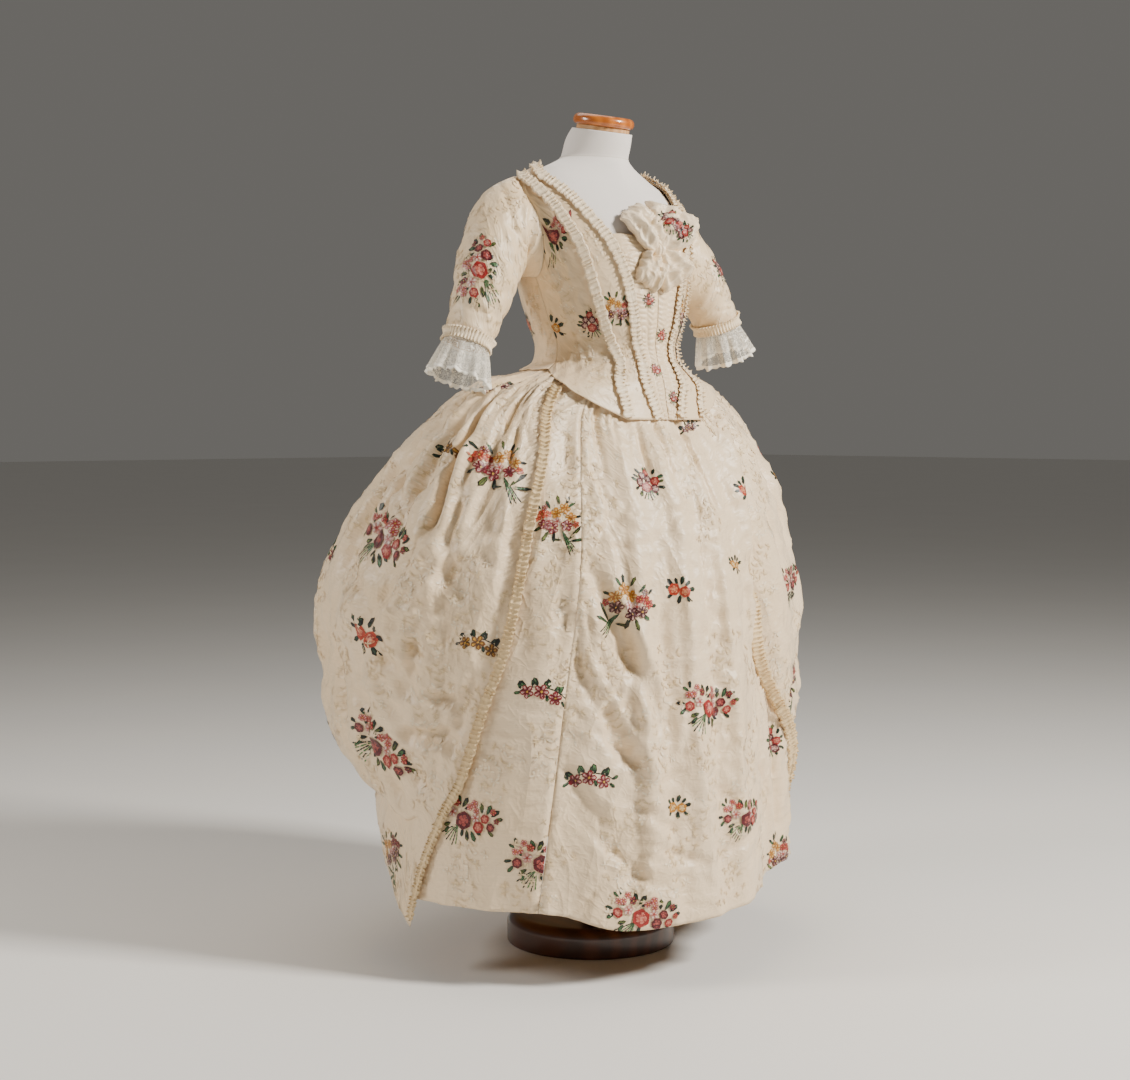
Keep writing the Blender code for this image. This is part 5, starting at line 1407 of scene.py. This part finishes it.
# The bodice: two fronts, two backs and the closing panels, cut close and sewn with fine backstitched
# seams, of the same silk lying smooth over the form, with short creases at the waist and arms.
BODICE_FLARE = (
    (0.895, 0.285, 0.1590, 0.2600, -0.030, 2.0),
    (0.930, 0.252, 0.1510, 0.2300, -0.030, 2.0),
    (0.956, 0.230, 0.1470, 0.2010, -0.030, 2.0),
    (0.975, 0.178, 0.1415, 0.1640, -0.030, 2.0),
    (0.990, 0.140, 0.1360, 0.1370, -0.030, 2.0),
    (1.003, 0.120, 0.1300, 0.1190, -0.030, 2.0),
    (1.030, 0.1146, 0.1245, 0.1136, -0.030, 2.0),
)
WAIST_JOIN = 1.03
FORM_CLEAR = 0.0035
SHOULDER_EASE = 0.0020
SHOULDER_SEAM_DEGREES = 1.0
ARMHOLE_HEIGHT = 1.224
ARMHOLE_RISE = 0.080
ARMHOLE_FRONT_DEGREES = 13.0
ARMHOLE_BACK_DEGREES = 34.0
SHOULDER_RADIUS = 0.165
FRONT_LINE_COLUMNS = (
    "side_angle", "side_height", "mid_angle", "mid_height",
    "outer_angle", "outer_height", "inner_angle", "inner_height",
)
FRONT_LINES = (
    (82, 0.988, 50, 0.960, 18, 0.905, 4, 0.905),
    (83, 0.997, 53, 0.977, 22, 0.948, 8, 0.948),
    (84, 1.014, 58, 1.003, 31, 0.990, 14, 0.990),
    (85, 1.045, 63, 1.045, 41, 1.045, 18, 1.045),
    (87, 1.095, 66, 1.098, 45, 1.100, 20, 1.098),
    (90, 1.144, 68, 1.148, 48, 1.152, 24, 1.150),
    (82, 1.159, 68, 1.180, 52, 1.197, 31, 1.197),
    (74, 1.199, 69, 1.217, 57, 1.236, 39, 1.240),
    (74, 1.249, 71, 1.258, 62, 1.272, 47, 1.279),
    (82, 1.289, 77, 1.292, 72, 1.296, 66, 1.309),
    (90, 1.304, 90, 1.307, 90, 1.311, 90, 1.328),
)
NECKLINE_ROW = 6.25
BACK_LINE_COLUMNS = (
    "side_angle", "side_height", "strap_angle", "strap_height", "centre_angle", "centre_height",
)
BACK_LINES = (
    (82, 0.988, 130, 0.988, 180, 0.988),
    (83, 0.997, 131, 0.997, 180, 0.997),
    (84, 1.014, 132, 1.014, 180, 1.014),
    (85, 1.045, 134, 1.045, 180, 1.045),
    (87, 1.095, 136, 1.095, 180, 1.095),
    (90, 1.144, 138, 1.144, 180, 1.140),
    (109, 1.159, 142, 1.170, 180, 1.175),
    (121, 1.199, 146, 1.205, 180, 1.210),
    (121, 1.249, 148, 1.250, 180, 1.245),
    (109, 1.289, 128, 1.299, 180, 1.280),
    (90, 1.304, 90, 1.328, 180, 1.314),
)
BODICE_ROWS = 112
BODICE_SPLITS = (22, 22, 14)
BODICE_RADIUS = 0.14


def bodice_skin(angle, height):
    """The bodice's inside: just off the form, and flared over the skirts under the waist."""
    worn = [(h, w + FORM_CLEAR, f + FORM_CLEAR, b + FORM_CLEAR, y, n) for h, w, f, b, y, n in FORM_SECTIONS
            if h > WAIST_JOIN]
    points = round_form(BODICE_FLARE + tuple(worn), angle, height)
    points[..., 2] += neck_rise(points) + SHOULDER_EASE * ease(height, 1.27, 1.32)
    return points


def armhole(turn, inset):
    """Angle and height of the armhole, an oval on the form, at a turn from its top, forward being
    positive, drawn in by inset."""
    forward = np.sin(np.radians(turn))
    reach = np.where(forward > 0, ARMHOLE_FRONT_DEGREES, ARMHOLE_BACK_DEGREES)
    reach = reach - np.degrees(inset / SHOULDER_RADIUS)
    return 90 - reach * forward, ARMHOLE_HEIGHT + (ARMHOLE_RISE - inset) * np.cos(np.radians(turn))


def patch(lines, names, keys, splits, rows, last_row, armhole_way=0):
    """Angles and heights of a grid whose columns lie evenly between the named lines of a table, up to
    last_row. The side line goes straight up to the underarm and then round the armhole, in front where
    armhole_way is 1 and behind where it is -1."""
    at = np.linspace(0, last_row, rows + 1)
    known = np.arange(len(lines), dtype=float)
    parts = ("_angle", "_height")
    line = {key: [smooth(at, known, column(lines, names, key + part)) for part in parts] for key in keys}
    if armhole_way:
        half = rows // 2
        low = [np.interp(at[:half], known, column(lines, names, "side" + part)) for part in parts]
        arm = armhole(armhole_way * np.linspace(180, 0, rows - half + 1), 0.0)
        line["side"] = [np.concatenate(pair) for pair in zip(low, arm)]
    angle, height = [], []
    for near, far, count in zip(keys, keys[1:], splits):
        for part in np.linspace(0, 1, count, endpoint=False):
            angle.append(line[near][0] * (1 - part) + line[far][0] * part)
            height.append(line[near][1] * (1 - part) + line[far][1] * part)
    angle.append(line[keys[-1]][0])
    height.append(line[keys[-1]][1])
    return np.stack(angle, 1), np.stack(height, 1)


BODICE_CREASES = (
    (80, 1.050, 60, 1.030, 0.006, 0.0022),
    (84, 1.075, 62, 1.058, 0.006, 0.0020),
    (78, 1.020, 58, 1.012, 0.005, 0.0020),
    (84, 1.120, 70, 1.085, 0.007, 0.0018),
    (76, 1.165, 62, 1.130, 0.006, 0.0022),
    (72, 1.200, 60, 1.175, 0.006, 0.0020),
    (66, 0.995, 52, 0.975, 0.006, 0.0022),
    (100, 1.060, 125, 1.040, 0.006, 0.0020),
    (104, 1.020, 130, 1.010, 0.006, 0.0020),
    (112, 1.160, 130, 1.120, 0.007, 0.0022),
    (150, 1.050, 172, 1.035, 0.006, 0.0018),
)
BODICE_SPOTS = {
    "right": (
        ("sprig_yellow", -86, 1.062, 0, 0.95),
        ("dark_roses", -67, 1.208, 0, 0.80),
        ("dark_rose", -51, 1.062, 0, 0.85),
    ),
    "left": (
        ("dark_rose", 55, 1.09, 0, 0.8),
        ("roses", 63, 1.205, 0, 0.62),
    ),
}
BACK_SPOTS = (
    ("roses", 150, 1.19, 0, 0.8),
    ("sprig_coral", 128, 1.07, 0, 1.0),
)
ROBING_SPOTS = (
    ("lilies", 33, 1.080, 0, 0.70),
    ("tan_1", 42, 1.205, 20, 0.6),
    ("tan_2", 24, 1.0, -10, 0.6),
)
PANEL_SPOTS = {
    "right": (
        ("dark_rose", -8, 1.100, 0, 0.45),
        ("red_rose", -4, 0.985, 30, 0.42),
    ),
    "left": (
        ("dark_rose", 9, 1.130, 20, 0.42),
        ("red_rose", 6, 1.045, 0, 0.45),
        ("dark_rose", 4, 0.940, 0, 0.42),
    ),
}
BODICE_TAN_PITCH = (0.075, 0.13)
BODICE_TAN_CLEAR = 0.03
BODICE_TAN_SIZE = 0.85
BODICE_RUMPLE_SIZE = 0.055
FRONT_RUMPLE = 0.0022
BACK_RUMPLE = 0.0018
PANEL_RUMPLE_SIZE = 0.05
bodice_silk = silk("ivory_brocaded_bodice_silk", "EFD9B9", "E0C59A", 0.42, 0.0040)
BODICE_FINISHES = [bodice_silk, silk_back]
ROBING_COLUMN = BODICE_SPLITS[0] + BODICE_SPLITS[1]
BODICE_DEGREE = np.radians(1) * BODICE_RADIUS
ROBING_LIFT = 0.0018
ROBING_THICK = 0.0006
# Each ruffle's edge, its share of the way across the robing, its lift and its step between seeds.
ROBING_RUFFLES = (("outer", 0.0, 0.0022, 1), ("inner", 0.92, 0.0028, 3))
ROBING_RUFFLE_WIDTH = 0.0175
ROBING_RUFFLE_PITCH = 0.0078
ROBING_RUFFLE_RISE = {"right": 0.0048, "left": 0.0060}
ROBING_RUFFLE_ENDS = 0.7
BACK_SPLITS = (28, 28)
PANEL_ROWS = 230
PANEL_STEPS = 24
PANEL_STRIPS = 2
PANEL_WANDER = 0.0012
GATHER_PITCH = 0.0085
GATHER_RISE = 0.0026
for side, label in SIDES:
    angle, height = patch(FRONT_LINES, FRONT_LINE_COLUMNS, ("side", "mid", "outer", "inner"), BODICE_SPLITS,
                          BODICE_ROWS, len(FRONT_LINES) - 1, 1)
    marks = {"angle": side * angle, "height": height, "degree": BODICE_DEGREE}
    points = bodice_skin(side * angle, height)
    base_normal = outward(points)
    front = points + base_normal * SILK_THICK
    columns = np.arange(front.shape[1])[None, :]
    held_in = ease(columns, 0, 6) * (1 - ease(columns, ROBING_COLUMN - 9, ROBING_COLUMN - 3))
    push = creases(angle, height, BODICE_RADIUS, BODICE_CREASES)
    crumple = rumple(71 + side, np.radians(angle) * BODICE_RADIUS, height, BODICE_RUMPLE_SIZE)
    push += FRONT_RUMPLE * (crumple - 0.4)
    front_silk = front + base_normal * (push * held_in)[..., None]
    spots = [spot for spot in BODICE_SPOTS[label] if abs(spot[1]) < 88]
    spots += tan_sprays(81 + side, side, (24, 84), (1.00, 1.27), BODICE_DEGREE, BODICE_TAN_PITCH, spots,
                        BODICE_TAN_CLEAR, BODICE_TAN_SIZE)
    flowered(f"bodice_front_{label}", front_silk, outward(front_silk), BODICE_FINISHES, marks, spots,
             "stretched", ["form_torso"], flat_from=front)

    band_normal = base_normal[:, ROBING_COLUMN:]
    band = front[:, ROBING_COLUMN:] + band_normal * ROBING_LIFT
    marks.update(angle=side * angle[:, ROBING_COLUMN:], height=height[:, ROBING_COLUMN:])
    flowered(f"robing_{label}", band, band_normal, BODICE_FINISHES, marks, on_side(side, ROBING_SPOTS),
             "laid", [f"bodice_front_{label}_silk"], thick=ROBING_THICK)
    for kind, part, lift, seed_step in ROBING_RUFFLES:
        piece, sheet = ruffle(f"robing_{kind}_ruffle_{label}_silk", front, base_normal,
                              ROBING_COLUMN + part * BODICE_SPLITS[2],
                              (ROBING_RUFFLE_ENDS, BODICE_ROWS - ROBING_RUFFLE_ENDS), ROBING_LIFT + lift,
                              ROBING_RUFFLE_WIDTH, ROBING_RUFFLE_PITCH, ROBING_RUFFLE_RISE[label],
                              91 + side * seed_step, f"robing_{kind}_ruffle_{label}", [trim_silk, trim_back_and_shade])

    angle, height = patch(BACK_LINES, BACK_LINE_COLUMNS, ("side", "strap", "centre"), BACK_SPLITS,
                          BODICE_ROWS, len(BACK_LINES) - 1, -1)
    columns = np.arange(angle.shape[1])[None, :]
    angle[:, 0] += SEAM_DEGREES
    angle[:, -1] -= SEAM_DEGREES
    near_shoulder = ease(np.arange(BODICE_ROWS + 1)[:, None], BODICE_ROWS - 8, BODICE_ROWS)
    angle += SHOULDER_SEAM_DEGREES * near_shoulder * (1 - ease(columns, 28, 34))
    marks = {"angle": side * angle, "height": height, "degree": BODICE_DEGREE}
    points = bodice_skin(side * angle, height)
    base_normal = square_to_middle(outward(points))
    back = points + base_normal * SILK_THICK
    push = creases(angle, height, BODICE_RADIUS, BODICE_CREASES)
    crumple = rumple(75 + side, np.radians(angle) * BODICE_RADIUS, height, BODICE_RUMPLE_SIZE)
    push += BACK_RUMPLE * (crumple - 0.4)
    back_silk = back + base_normal * (push * ease(columns, 0, 6) * (1 - ease(columns, 50, 56)))[..., None]
    spots = on_side(side, [spot for spot in BODICE_SPOTS[label] if abs(spot[1]) > 88] + list(BACK_SPOTS))
    spots += tan_sprays(85 + side, side, (96, 176), (1.05, 1.27), BODICE_DEGREE, BODICE_TAN_PITCH, spots,
                        BODICE_TAN_CLEAR, BODICE_TAN_SIZE)
    flowered(f"bodice_back_{label}", back_silk, square_to_middle(outward(back_silk)), BODICE_FINISHES, marks,
             spots, "stretched", ["form_torso"], flat_from=back)

    angle, height = patch(FRONT_LINES, FRONT_LINE_COLUMNS, ("inner", "inner"), (PANEL_STEPS,), PANEL_ROWS,
                          NECKLINE_ROW)
    part = np.linspace(0, 1, PANEL_STEPS + 1)
    angle = angle * (1 - part) + SEAM_DEGREES * np.where(part == 0, -1, np.where(part == 1, 0.5, 0))
    marks = {"angle": side * angle, "height": height, "degree": BODICE_DEGREE}
    points = bodice_skin(side * angle, height)
    base_normal = square_to_middle(outward(points))
    wander = rumple(79 + side, np.radians(angle) * BODICE_RADIUS, height, PANEL_RUMPLE_SIZE)
    strips = np.abs(np.sin(np.pi * PANEL_STRIPS * part)) ** 0.7
    phase = height / GATHER_PITCH + 0.8 * wander + 0.5 * np.floor(PANEL_STRIPS * part)
    gathers = np.abs(np.sin(np.pi * phase)) ** 0.8
    push = GATHER_RISE * gathers * strips + PANEL_WANDER * (wander - 0.4) * strips
    push = push * ease(part, 0, 0.06) * (1 - ease(part, 0.94, 1))
    panel = points + base_normal * (SILK_THICK + push)[..., None]
    flowered(f"front_panel_{label}", panel, square_to_middle(outward(panel)), BODICE_FINISHES, marks,
             PANEL_SPOTS[label], "gathered", ["form_torso"], flat_from=points)


# The breast bow: a wide silk ribbon tied in four puffed loops, caught down by a small tight knot, so
# that its creases all run in to the knot. Each loop has a name, a direction in degrees from level
# toward the wearer's left, a length, half the width of its far end, and a puff.
BOW_LOOPS = (
    ("bow_lower_loop_right", 242.0, 0.066, 0.028, 0.015),
    ("bow_lower_loop_left", 302.0, 0.066, 0.029, 0.016),
    ("bow_upper_loop_right", 118.0, 0.078, 0.030, 0.019),
    ("bow_upper_loop_left", 58.0, 0.080, 0.037, 0.020),
)
BOW_RADIUS = 0.17
BOW_STEPS = 44
BOW_LIFT = 0.0068
BOW_LAYER = 0.0013
BOW_TILT = 0.42
BOW_WAIST = 0.010
BOW_FOLDS = 0.0040
BOW_CRUSHES = (
    (131, 1.0, 1.0, 0.040, 0.0074, 0.40, None, None),
    (141, 1.0, 1.0, 0.020, 0.0030, 0.40, None, None),
)
BOW_SPOTS = (
    ("dark_rose", 4.0, 1.222, -30, 0.80),
    ("dark_rose", 9.0, 1.206, 60, 0.6),
)
KNOT_ANGLE = -1.0
KNOT_HEIGHT = 1.181
KNOT_HALF = 0.0125
KNOT_STEPS = 24
bow_silk = silk("bow_ribbon_silk", "F1DFC4", "E2CAA4", 0.4, 0.0026)


def on_breast(x, z, rise):
    """Points at distances across and up from the knot, risen off the form's skin."""
    angle = KNOT_ANGLE + np.degrees(x / BOW_RADIUS)
    skin = round_form(FORM_SECTIONS, angle, KNOT_HEIGHT + z)
    turn = np.radians(angle)
    return skin + np.stack([np.sin(turn), -np.cos(turn), 0.25 + 0 * turn], -1) * rise[..., None]


steps = np.linspace(0, 1, BOW_STEPS + 1)
along, across = np.meshgrid(steps, 2 * steps - 1, indexing="ij")
for order, (name, direction, length, half_width, puff) in enumerate(BOW_LOOPS):
    turn = np.radians(direction)
    jag = 0.020 * np.cos(9 * across + order) + 0.016 * np.abs((across * 11) % 2 - 1)
    reach = length * along * (1 - 0.06 * across**4 + jag * along)
    half = BOW_WAIST + (half_width - BOW_WAIST) * ease(along, -0.1, 0.36)
    half = half * across * (1 + 0.04 * np.cos(23 * along + order))
    x = reach * np.cos(turn) - half * np.sin(turn)
    z = reach * np.sin(turn) + half * np.cos(turn)
    dome = np.sin(np.pi * along**1.5) ** 0.45 * (1 - np.abs(across) ** 7) ** 0.5
    folds = BOW_FOLDS * np.cos(2.8 * np.pi * across + 1.7 * order) * (1.1 - 0.6 * along)
    crush = rumples(BOW_CRUSHES, x, z, order)
    rise = BOW_LIFT + SILK_THICK + BOW_LAYER * order + puff * dome + (folds + crush) * ease(dome, 0.0, 0.7)
    rise = rise + BOW_TILT * np.maximum(x, 0)
    points = on_breast(x, z, np.maximum(rise, BOW_LIFT + BOW_LAYER * order))
    piece, sheet = cloth(name + "_silk", points, outward(points), [name], [bow_silk, silk_back])
    sheet.update(angle=KNOT_ANGLE + np.degrees(x / BOW_RADIUS), height=KNOT_HEIGHT + z,
                 degree=np.radians(1) * BOW_RADIUS)
    flowers = []
    if name == "bow_upper_loop_left":
        flowers = [brocaded("bow_brocading", sheet, BOW_SPOTS)]
u, v = np.meshgrid(np.linspace(-1, 1, KNOT_STEPS + 1), np.linspace(-1, 1, KNOT_STEPS + 1))
dome = (1 - u * u) * (1 - v * v)
x = KNOT_HALF * u * np.sqrt(1 - 0.35 * v * v)
z = KNOT_HALF * v * np.sqrt(1 - 0.35 * u * u)
points = on_breast(x, z, 0.012 + 0.011 * dome**0.6 + 0.0014 * np.cos(13 * u) * dome)
piece, sheet = cloth("bow_knot_silk", points, outward(points), ["bow_knot"], [bow_silk, silk_back])


# The sleeves: close elbow sleeves set into the armholes with small gathers at the head, each with a
# band of fine gathers round its hem and a deep cuff of white cotton lace under it.
SLEEVE_COLUMNS = ("centre_x", "centre_y", "centre_z", "tilt", "half_height", "half_depth")
SLEEVE_SECTIONS = (
    (-0.1830, 0.009, 1.222, 9.0, 0.075, 0.055),
    (-0.2020, 0.009, 1.200, 29.0, 0.067, 0.055),
    (-0.2240, 0.004, 1.166, 47.0, 0.056, 0.054),
    (-0.2450, -0.003, 1.116, 61.0, 0.047, 0.049),
    (-0.2640, -0.005, 1.068, 66.0, 0.040, 0.042),
    (-0.2820, -0.006, 1.028, 67.0, 0.035, 0.037),
)
LEFT_ARM_SHIFT = np.array((0.013, -0.012, 0.046))
HEAD_OVERLAP = -0.0015
HEAD_LIFT = 0.0016
SLEEVE_SIDES = 88
SLEEVE_ROWS = 84
SLEEVE_RINGS = 8
SLEEVE_RADIUS = 0.046
SLEEVE_LENGTH = 0.26


def sleeve_axis(share):
    """Centre, upward direction and half-axes of the sleeve's cut at a share of its length."""
    known = np.linspace(0, 1, len(SLEEVE_SECTIONS))
    x, y, z, tilt, half_height, half_depth = (
        smooth(share, known, column(SLEEVE_SECTIONS, SLEEVE_COLUMNS, name)) for name in SLEEVE_COLUMNS
    )
    tilt = np.radians(tilt)
    up = np.stack([-np.sin(tilt), 0 * tilt, np.cos(tilt)], -1)
    return np.stack([x, y, z], -1), up, half_height, half_depth


def arm_pose(points, side, share):
    """Mirrors the right arm for the left side and lifts it forward toward the cuff, where share is 1."""
    if side < 0:
        return points
    return points * (-1, 1, 1) + np.reshape(ease(share, 0.1, 1.0), (-1, 1, 1)) * LEFT_ARM_SHIFT


def ring_points(centre, up, half_height, half_depth, turns):
    """Points round ovals across the arm: the cosine of the turn up and its sine forward."""
    angle = np.radians(turns)
    forward = np.array((0.0, -1.0, 0.0))
    return (centre[:, None] + (np.cos(angle)[None, :, None] * up[:, None]) * half_height[:, None, None]
            + (np.sin(angle)[None, :, None] * forward) * half_depth[:, None, None])


def through(rings, steps):
    """Rings carried smoothly through known ones: between two, a cubic whose slopes are half the chord
    across their neighbours."""
    at = np.linspace(0, len(rings) - 1, steps)
    k = np.minimum(at.astype(int), len(rings) - 2)
    t = (at - k)[:, None, None]
    slope = np.gradient(rings, axis=0)
    return ((1 + 2 * t) * (1 - t) ** 2 * rings[k] + t * (1 - t) ** 2 * slope[k]
            + t * t * (3 - 2 * t) * rings[k + 1] + t * t * (t - 1) * slope[k + 1])


SLEEVE_CREASES = (
    (20, 0.045, 75, 0.075, 0.006, 0.0030),
    (-10, 0.030, 40, 0.050, 0.005, 0.0020),
    (60, 0.090, 110, 0.055, 0.007, 0.0035),
    (95, 0.120, 30, 0.150, 0.007, 0.0030),
    (120, 0.160, 60, 0.185, 0.008, 0.0035),
    (110, 0.205, 20, 0.215, 0.006, 0.0025),
    (-60, 0.100, -20, 0.130, 0.007, 0.0030),
    (-90, 0.160, -30, 0.180, 0.007, 0.0030),
    (10, 0.110, 20, 0.200, 0.008, 0.0025),
    (75, 0.225, 140, 0.215, 0.006, 0.0025),
)
CUFF_WIDTH = 0.019
CUFF_PLEATS = 46
CUFF_CLEAR = {"right": 0.0032, "left": 0.0041}
CUFF_SHARES = (-1, -0.72, -0.42, -0.12, 0.12, 0.42, 0.72, 1)
CUFF_RISE = 0.0045
CUFF_TAPER = 0.0012
CUFF_OVER = 0.004
LACE_LENGTH = 0.062
LACE_FLARE = 0.014
LACE_WAVES = 11
LACE_WAVE = 0.0060
LACE_SMALL_WAVE = 0.0016
LACE_CLEAR = 0.0015
LACE_DROP = 0.0006
LACE_THICK = 0.0004
LACE_SIDES = 264
LACE_ROWS = 18
LACE_POINTS = 13
SLEEVE_SPOTS = {
    "right": (
        ("roses", 34, 0.55, 90, 0.95),
        ("roses", -120, 0.45, 90, 0.7),
    ),
    "left": (
        ("dark_rose", 50, 0.53, 20, 0.9),
        ("roses", -60, 0.45, 90, 0.7),
    ),
}
SLEEVE_TAN_PITCH = (0.07, 0.12)
CREASE_TURN = {"right": 0, "left": 12}
SLEEVE_RUMPLE = 0.0034
SLEEVE_RUMPLE_SIZE = 0.070
HEAD_GATHERS = 26
HEAD_GATHER_RISE = 0.0016
SLEEVE_DEGREE = np.radians(1) * SLEEVE_RADIUS
# The lace is a net of threads with closed petals, and closed cloth at its border and its heading. The
# shares are of a mesh and of a petal, and the drops are in metres under its top.
NET_THREAD = 0.082
PETAL_SPREAD = 0.46
BORDER_DROP = -0.057
HEADING_DROP = -0.004
cotton_lace, tree, shader = material("white_cotton_lace", "F6F1E4", 0.85, Sheen_Weight=0.2)
uv = add(tree, "ShaderNodeTexCoord").outputs["UV"]
net = add(tree, "ShaderNodeTexVoronoi", {"feature": "DISTANCE_TO_EDGE"}, {"Vector": uv, "Scale": 480.0,
          "Randomness": 0.55})
spread = add(tree, "ShaderNodeTexVoronoi", {"feature": "SMOOTH_F1"}, {"Vector": uv, "Scale": 62.0,
             "Smoothness": 0.15, "Randomness": 0.75})
petals = maths(tree, "MULTIPLY_ADD", noise(tree, uv, 240.0, 2.0), 0.55, spread.outputs["Distance"])
drop = add(tree, "ShaderNodeSeparateXYZ", {}, {0: uv}).outputs["Y"]
cover = maths(tree, "LESS_THAN", net.outputs["Distance"], NET_THREAD)
for solid in (maths(tree, "LESS_THAN", petals, PETAL_SPREAD), maths(tree, "LESS_THAN", drop, BORDER_DROP),
              maths(tree, "GREATER_THAN", drop, HEADING_DROP)):
    cover = maths(tree, "MAXIMUM", cover, solid)
tree.links.new(cover, shader.inputs["Alpha"])
tree.links.new(relief(tree, petals, 0.0006, 0.6), shader.inputs["Normal"])

turns = np.linspace(-180, 180, SLEEVE_SIDES, endpoint=False)
for side, label in SIDES:
    rings = ring_points(*sleeve_axis(np.linspace(0, 1, SLEEVE_RINGS + 1)), turns)
    angle, height = armhole(turns, HEAD_OVERLAP)
    head = bodice_skin(-angle, height)
    away = unit(head - (0.0, 0.0, 1.15))
    rings = np.concatenate([(head + away * HEAD_LIFT)[None], rings])
    share = np.clip(np.linspace(-1, SLEEVE_RINGS, SLEEVE_ROWS) / SLEEVE_RINGS, 0, 1)
    base = through(rings, SLEEVE_ROWS)
    base_normal = outward(base, around=True)
    base = base + base_normal * SILK_THICK
    length = np.linspace(0, SLEEVE_LENGTH, SLEEVE_ROWS)[:, None]
    around_turn = turns[None, :] + CREASE_TURN[label]
    push = creases(around_turn, length, SLEEVE_RADIUS, SLEEVE_CREASES)
    x, y = (way(np.radians(turns))[None, :] * SLEEVE_RADIUS for way in (np.cos, np.sin))
    push += SLEEVE_RUMPLE * (rumple(101 + side, x + length, y + 0.6 * length, SLEEVE_RUMPLE_SIZE) - 0.4)
    head_gathers = HEAD_GATHER_RISE * np.cos(np.radians(turns) * HEAD_GATHERS) * ease(np.abs(turns), 110, 60)
    push += head_gathers[None, :] * ease(-length, -0.035, -0.004)
    push = push * ease(length, 0, 0.012) * ease(-length, -SLEEVE_LENGTH, -SLEEVE_LENGTH + 0.02)
    surface = arm_pose(base + base_normal * push[..., None], side, share)
    base = arm_pose(base, side, share)
    closed = np.append(turns, 180.0)[None, :] + 0 * length
    down_arm = (share * SLEEVE_LENGTH)[:, None] + 0 * closed
    spots = [(kind, a, h * SLEEVE_LENGTH, t, z) for kind, a, h, t, z in SLEEVE_SPOTS[label]]
    spots += lattice(111 + side, (-150, 150), (0.06, 0.22), SLEEVE_DEGREE, SLEEVE_TAN_PITCH, TAN_SPRAYS,
                     spots, BODICE_TAN_CLEAR)
    flowered(f"sleeve_{label}", surface, outward(surface, around=True), BODICE_FINISHES,
             {"angle": closed, "height": down_arm, "degree": SLEEVE_DEGREE}, spots, "stretched",
             [f"bodice_front_{label}_silk"], around=True, flat_from=base)

    mirror = (-1, 1, 1) if side > 0 else (1, 1, 1)
    count = CUFF_PLEATS * PLEAT_POINTS
    cuff_turns = np.arange(count) * 360 / count
    centre, up, half_height, half_depth = sleeve_axis(np.array((0.955, 1.0)))
    down = unit(centre[1] - centre[0])
    across = np.array(CUFF_SHARES)
    middle = centre[1] - down * (CUFF_WIDTH / 2 - CUFF_OVER)
    centres = middle + down * (across * CUFF_WIDTH / 2)[:, None]
    tube = SILK_THICK + CUFF_CLEAR[label] + CUFF_TAPER * across[::-1]
    rings = ring_points(centres, np.repeat(up[1:], len(across), 0), half_height[1] + tube,
                        half_depth[1] + tube, cuff_turns)
    radial = unit(rings - centres[:, None])
    draw = np.random.default_rng(121 + side)
    drift = np.interp(cuff_turns, np.linspace(0, 360, 24), np.append(draw.normal(0, 0.8, 23), 0.0))
    phase = np.radians(cuff_turns * CUFF_PLEATS) + drift
    rise = CUFF_RISE * (0.15 + 0.85 * np.abs(across)[:, None] ** 1.2) * (0.5 - 0.5 * np.cos(phase))[None, :]
    band = rings + radial * rise[..., None]
    piece, sheet = cloth(f"cuff_band_{label}_silk", arm_pose(band, side, 1.0), radial * mirror,
                         [f"cuff_band_{label}"], [trim_silk, trim_back_and_shade], around=True, slot="trim_silk",
                         thick=TRIM_THICK)

    lace_turns = np.arange(LACE_SIDES) * 360 / LACE_SIDES
    part = np.linspace(0, 1, LACE_ROWS)[:, None]
    scallop = 0.045 * (1 - np.abs(np.sin(np.radians(lace_turns) * LACE_POINTS)))[None, :] * part
    hang = unit(down * (0.75, 1, 1))
    centre, up, half_height, half_depth = sleeve_axis(np.ones(LACE_ROWS))
    centre = centre + down * LACE_DROP + hang * (LACE_LENGTH * part)
    flare = LACE_FLARE * part[:, 0] ** 0.8 + LACE_CLEAR
    rings = ring_points(centre, up, half_height + flare, half_depth + flare, lace_turns)
    rings = rings - hang * (LACE_LENGTH * part * scallop)[..., None]
    radial = unit(rings - centre[:, None])
    phase = np.radians(lace_turns * LACE_WAVES) + 0.8 * np.sin(np.radians(lace_turns * 3 + 40))
    wave = (LACE_WAVE * np.sin(phase) + LACE_SMALL_WAVE * np.sin(2.3 * phase + 1))[None, :] * part
    frill = rings + radial * wave[..., None]
    piece, sheet = cloth(f"lace_cuff_{label}_cotton", arm_pose(frill, side, 1.0), radial * mirror,
                         [f"lace_cuff_{label}"], [cotton_lace], around=True, slot="lace", thick=LACE_THICK)
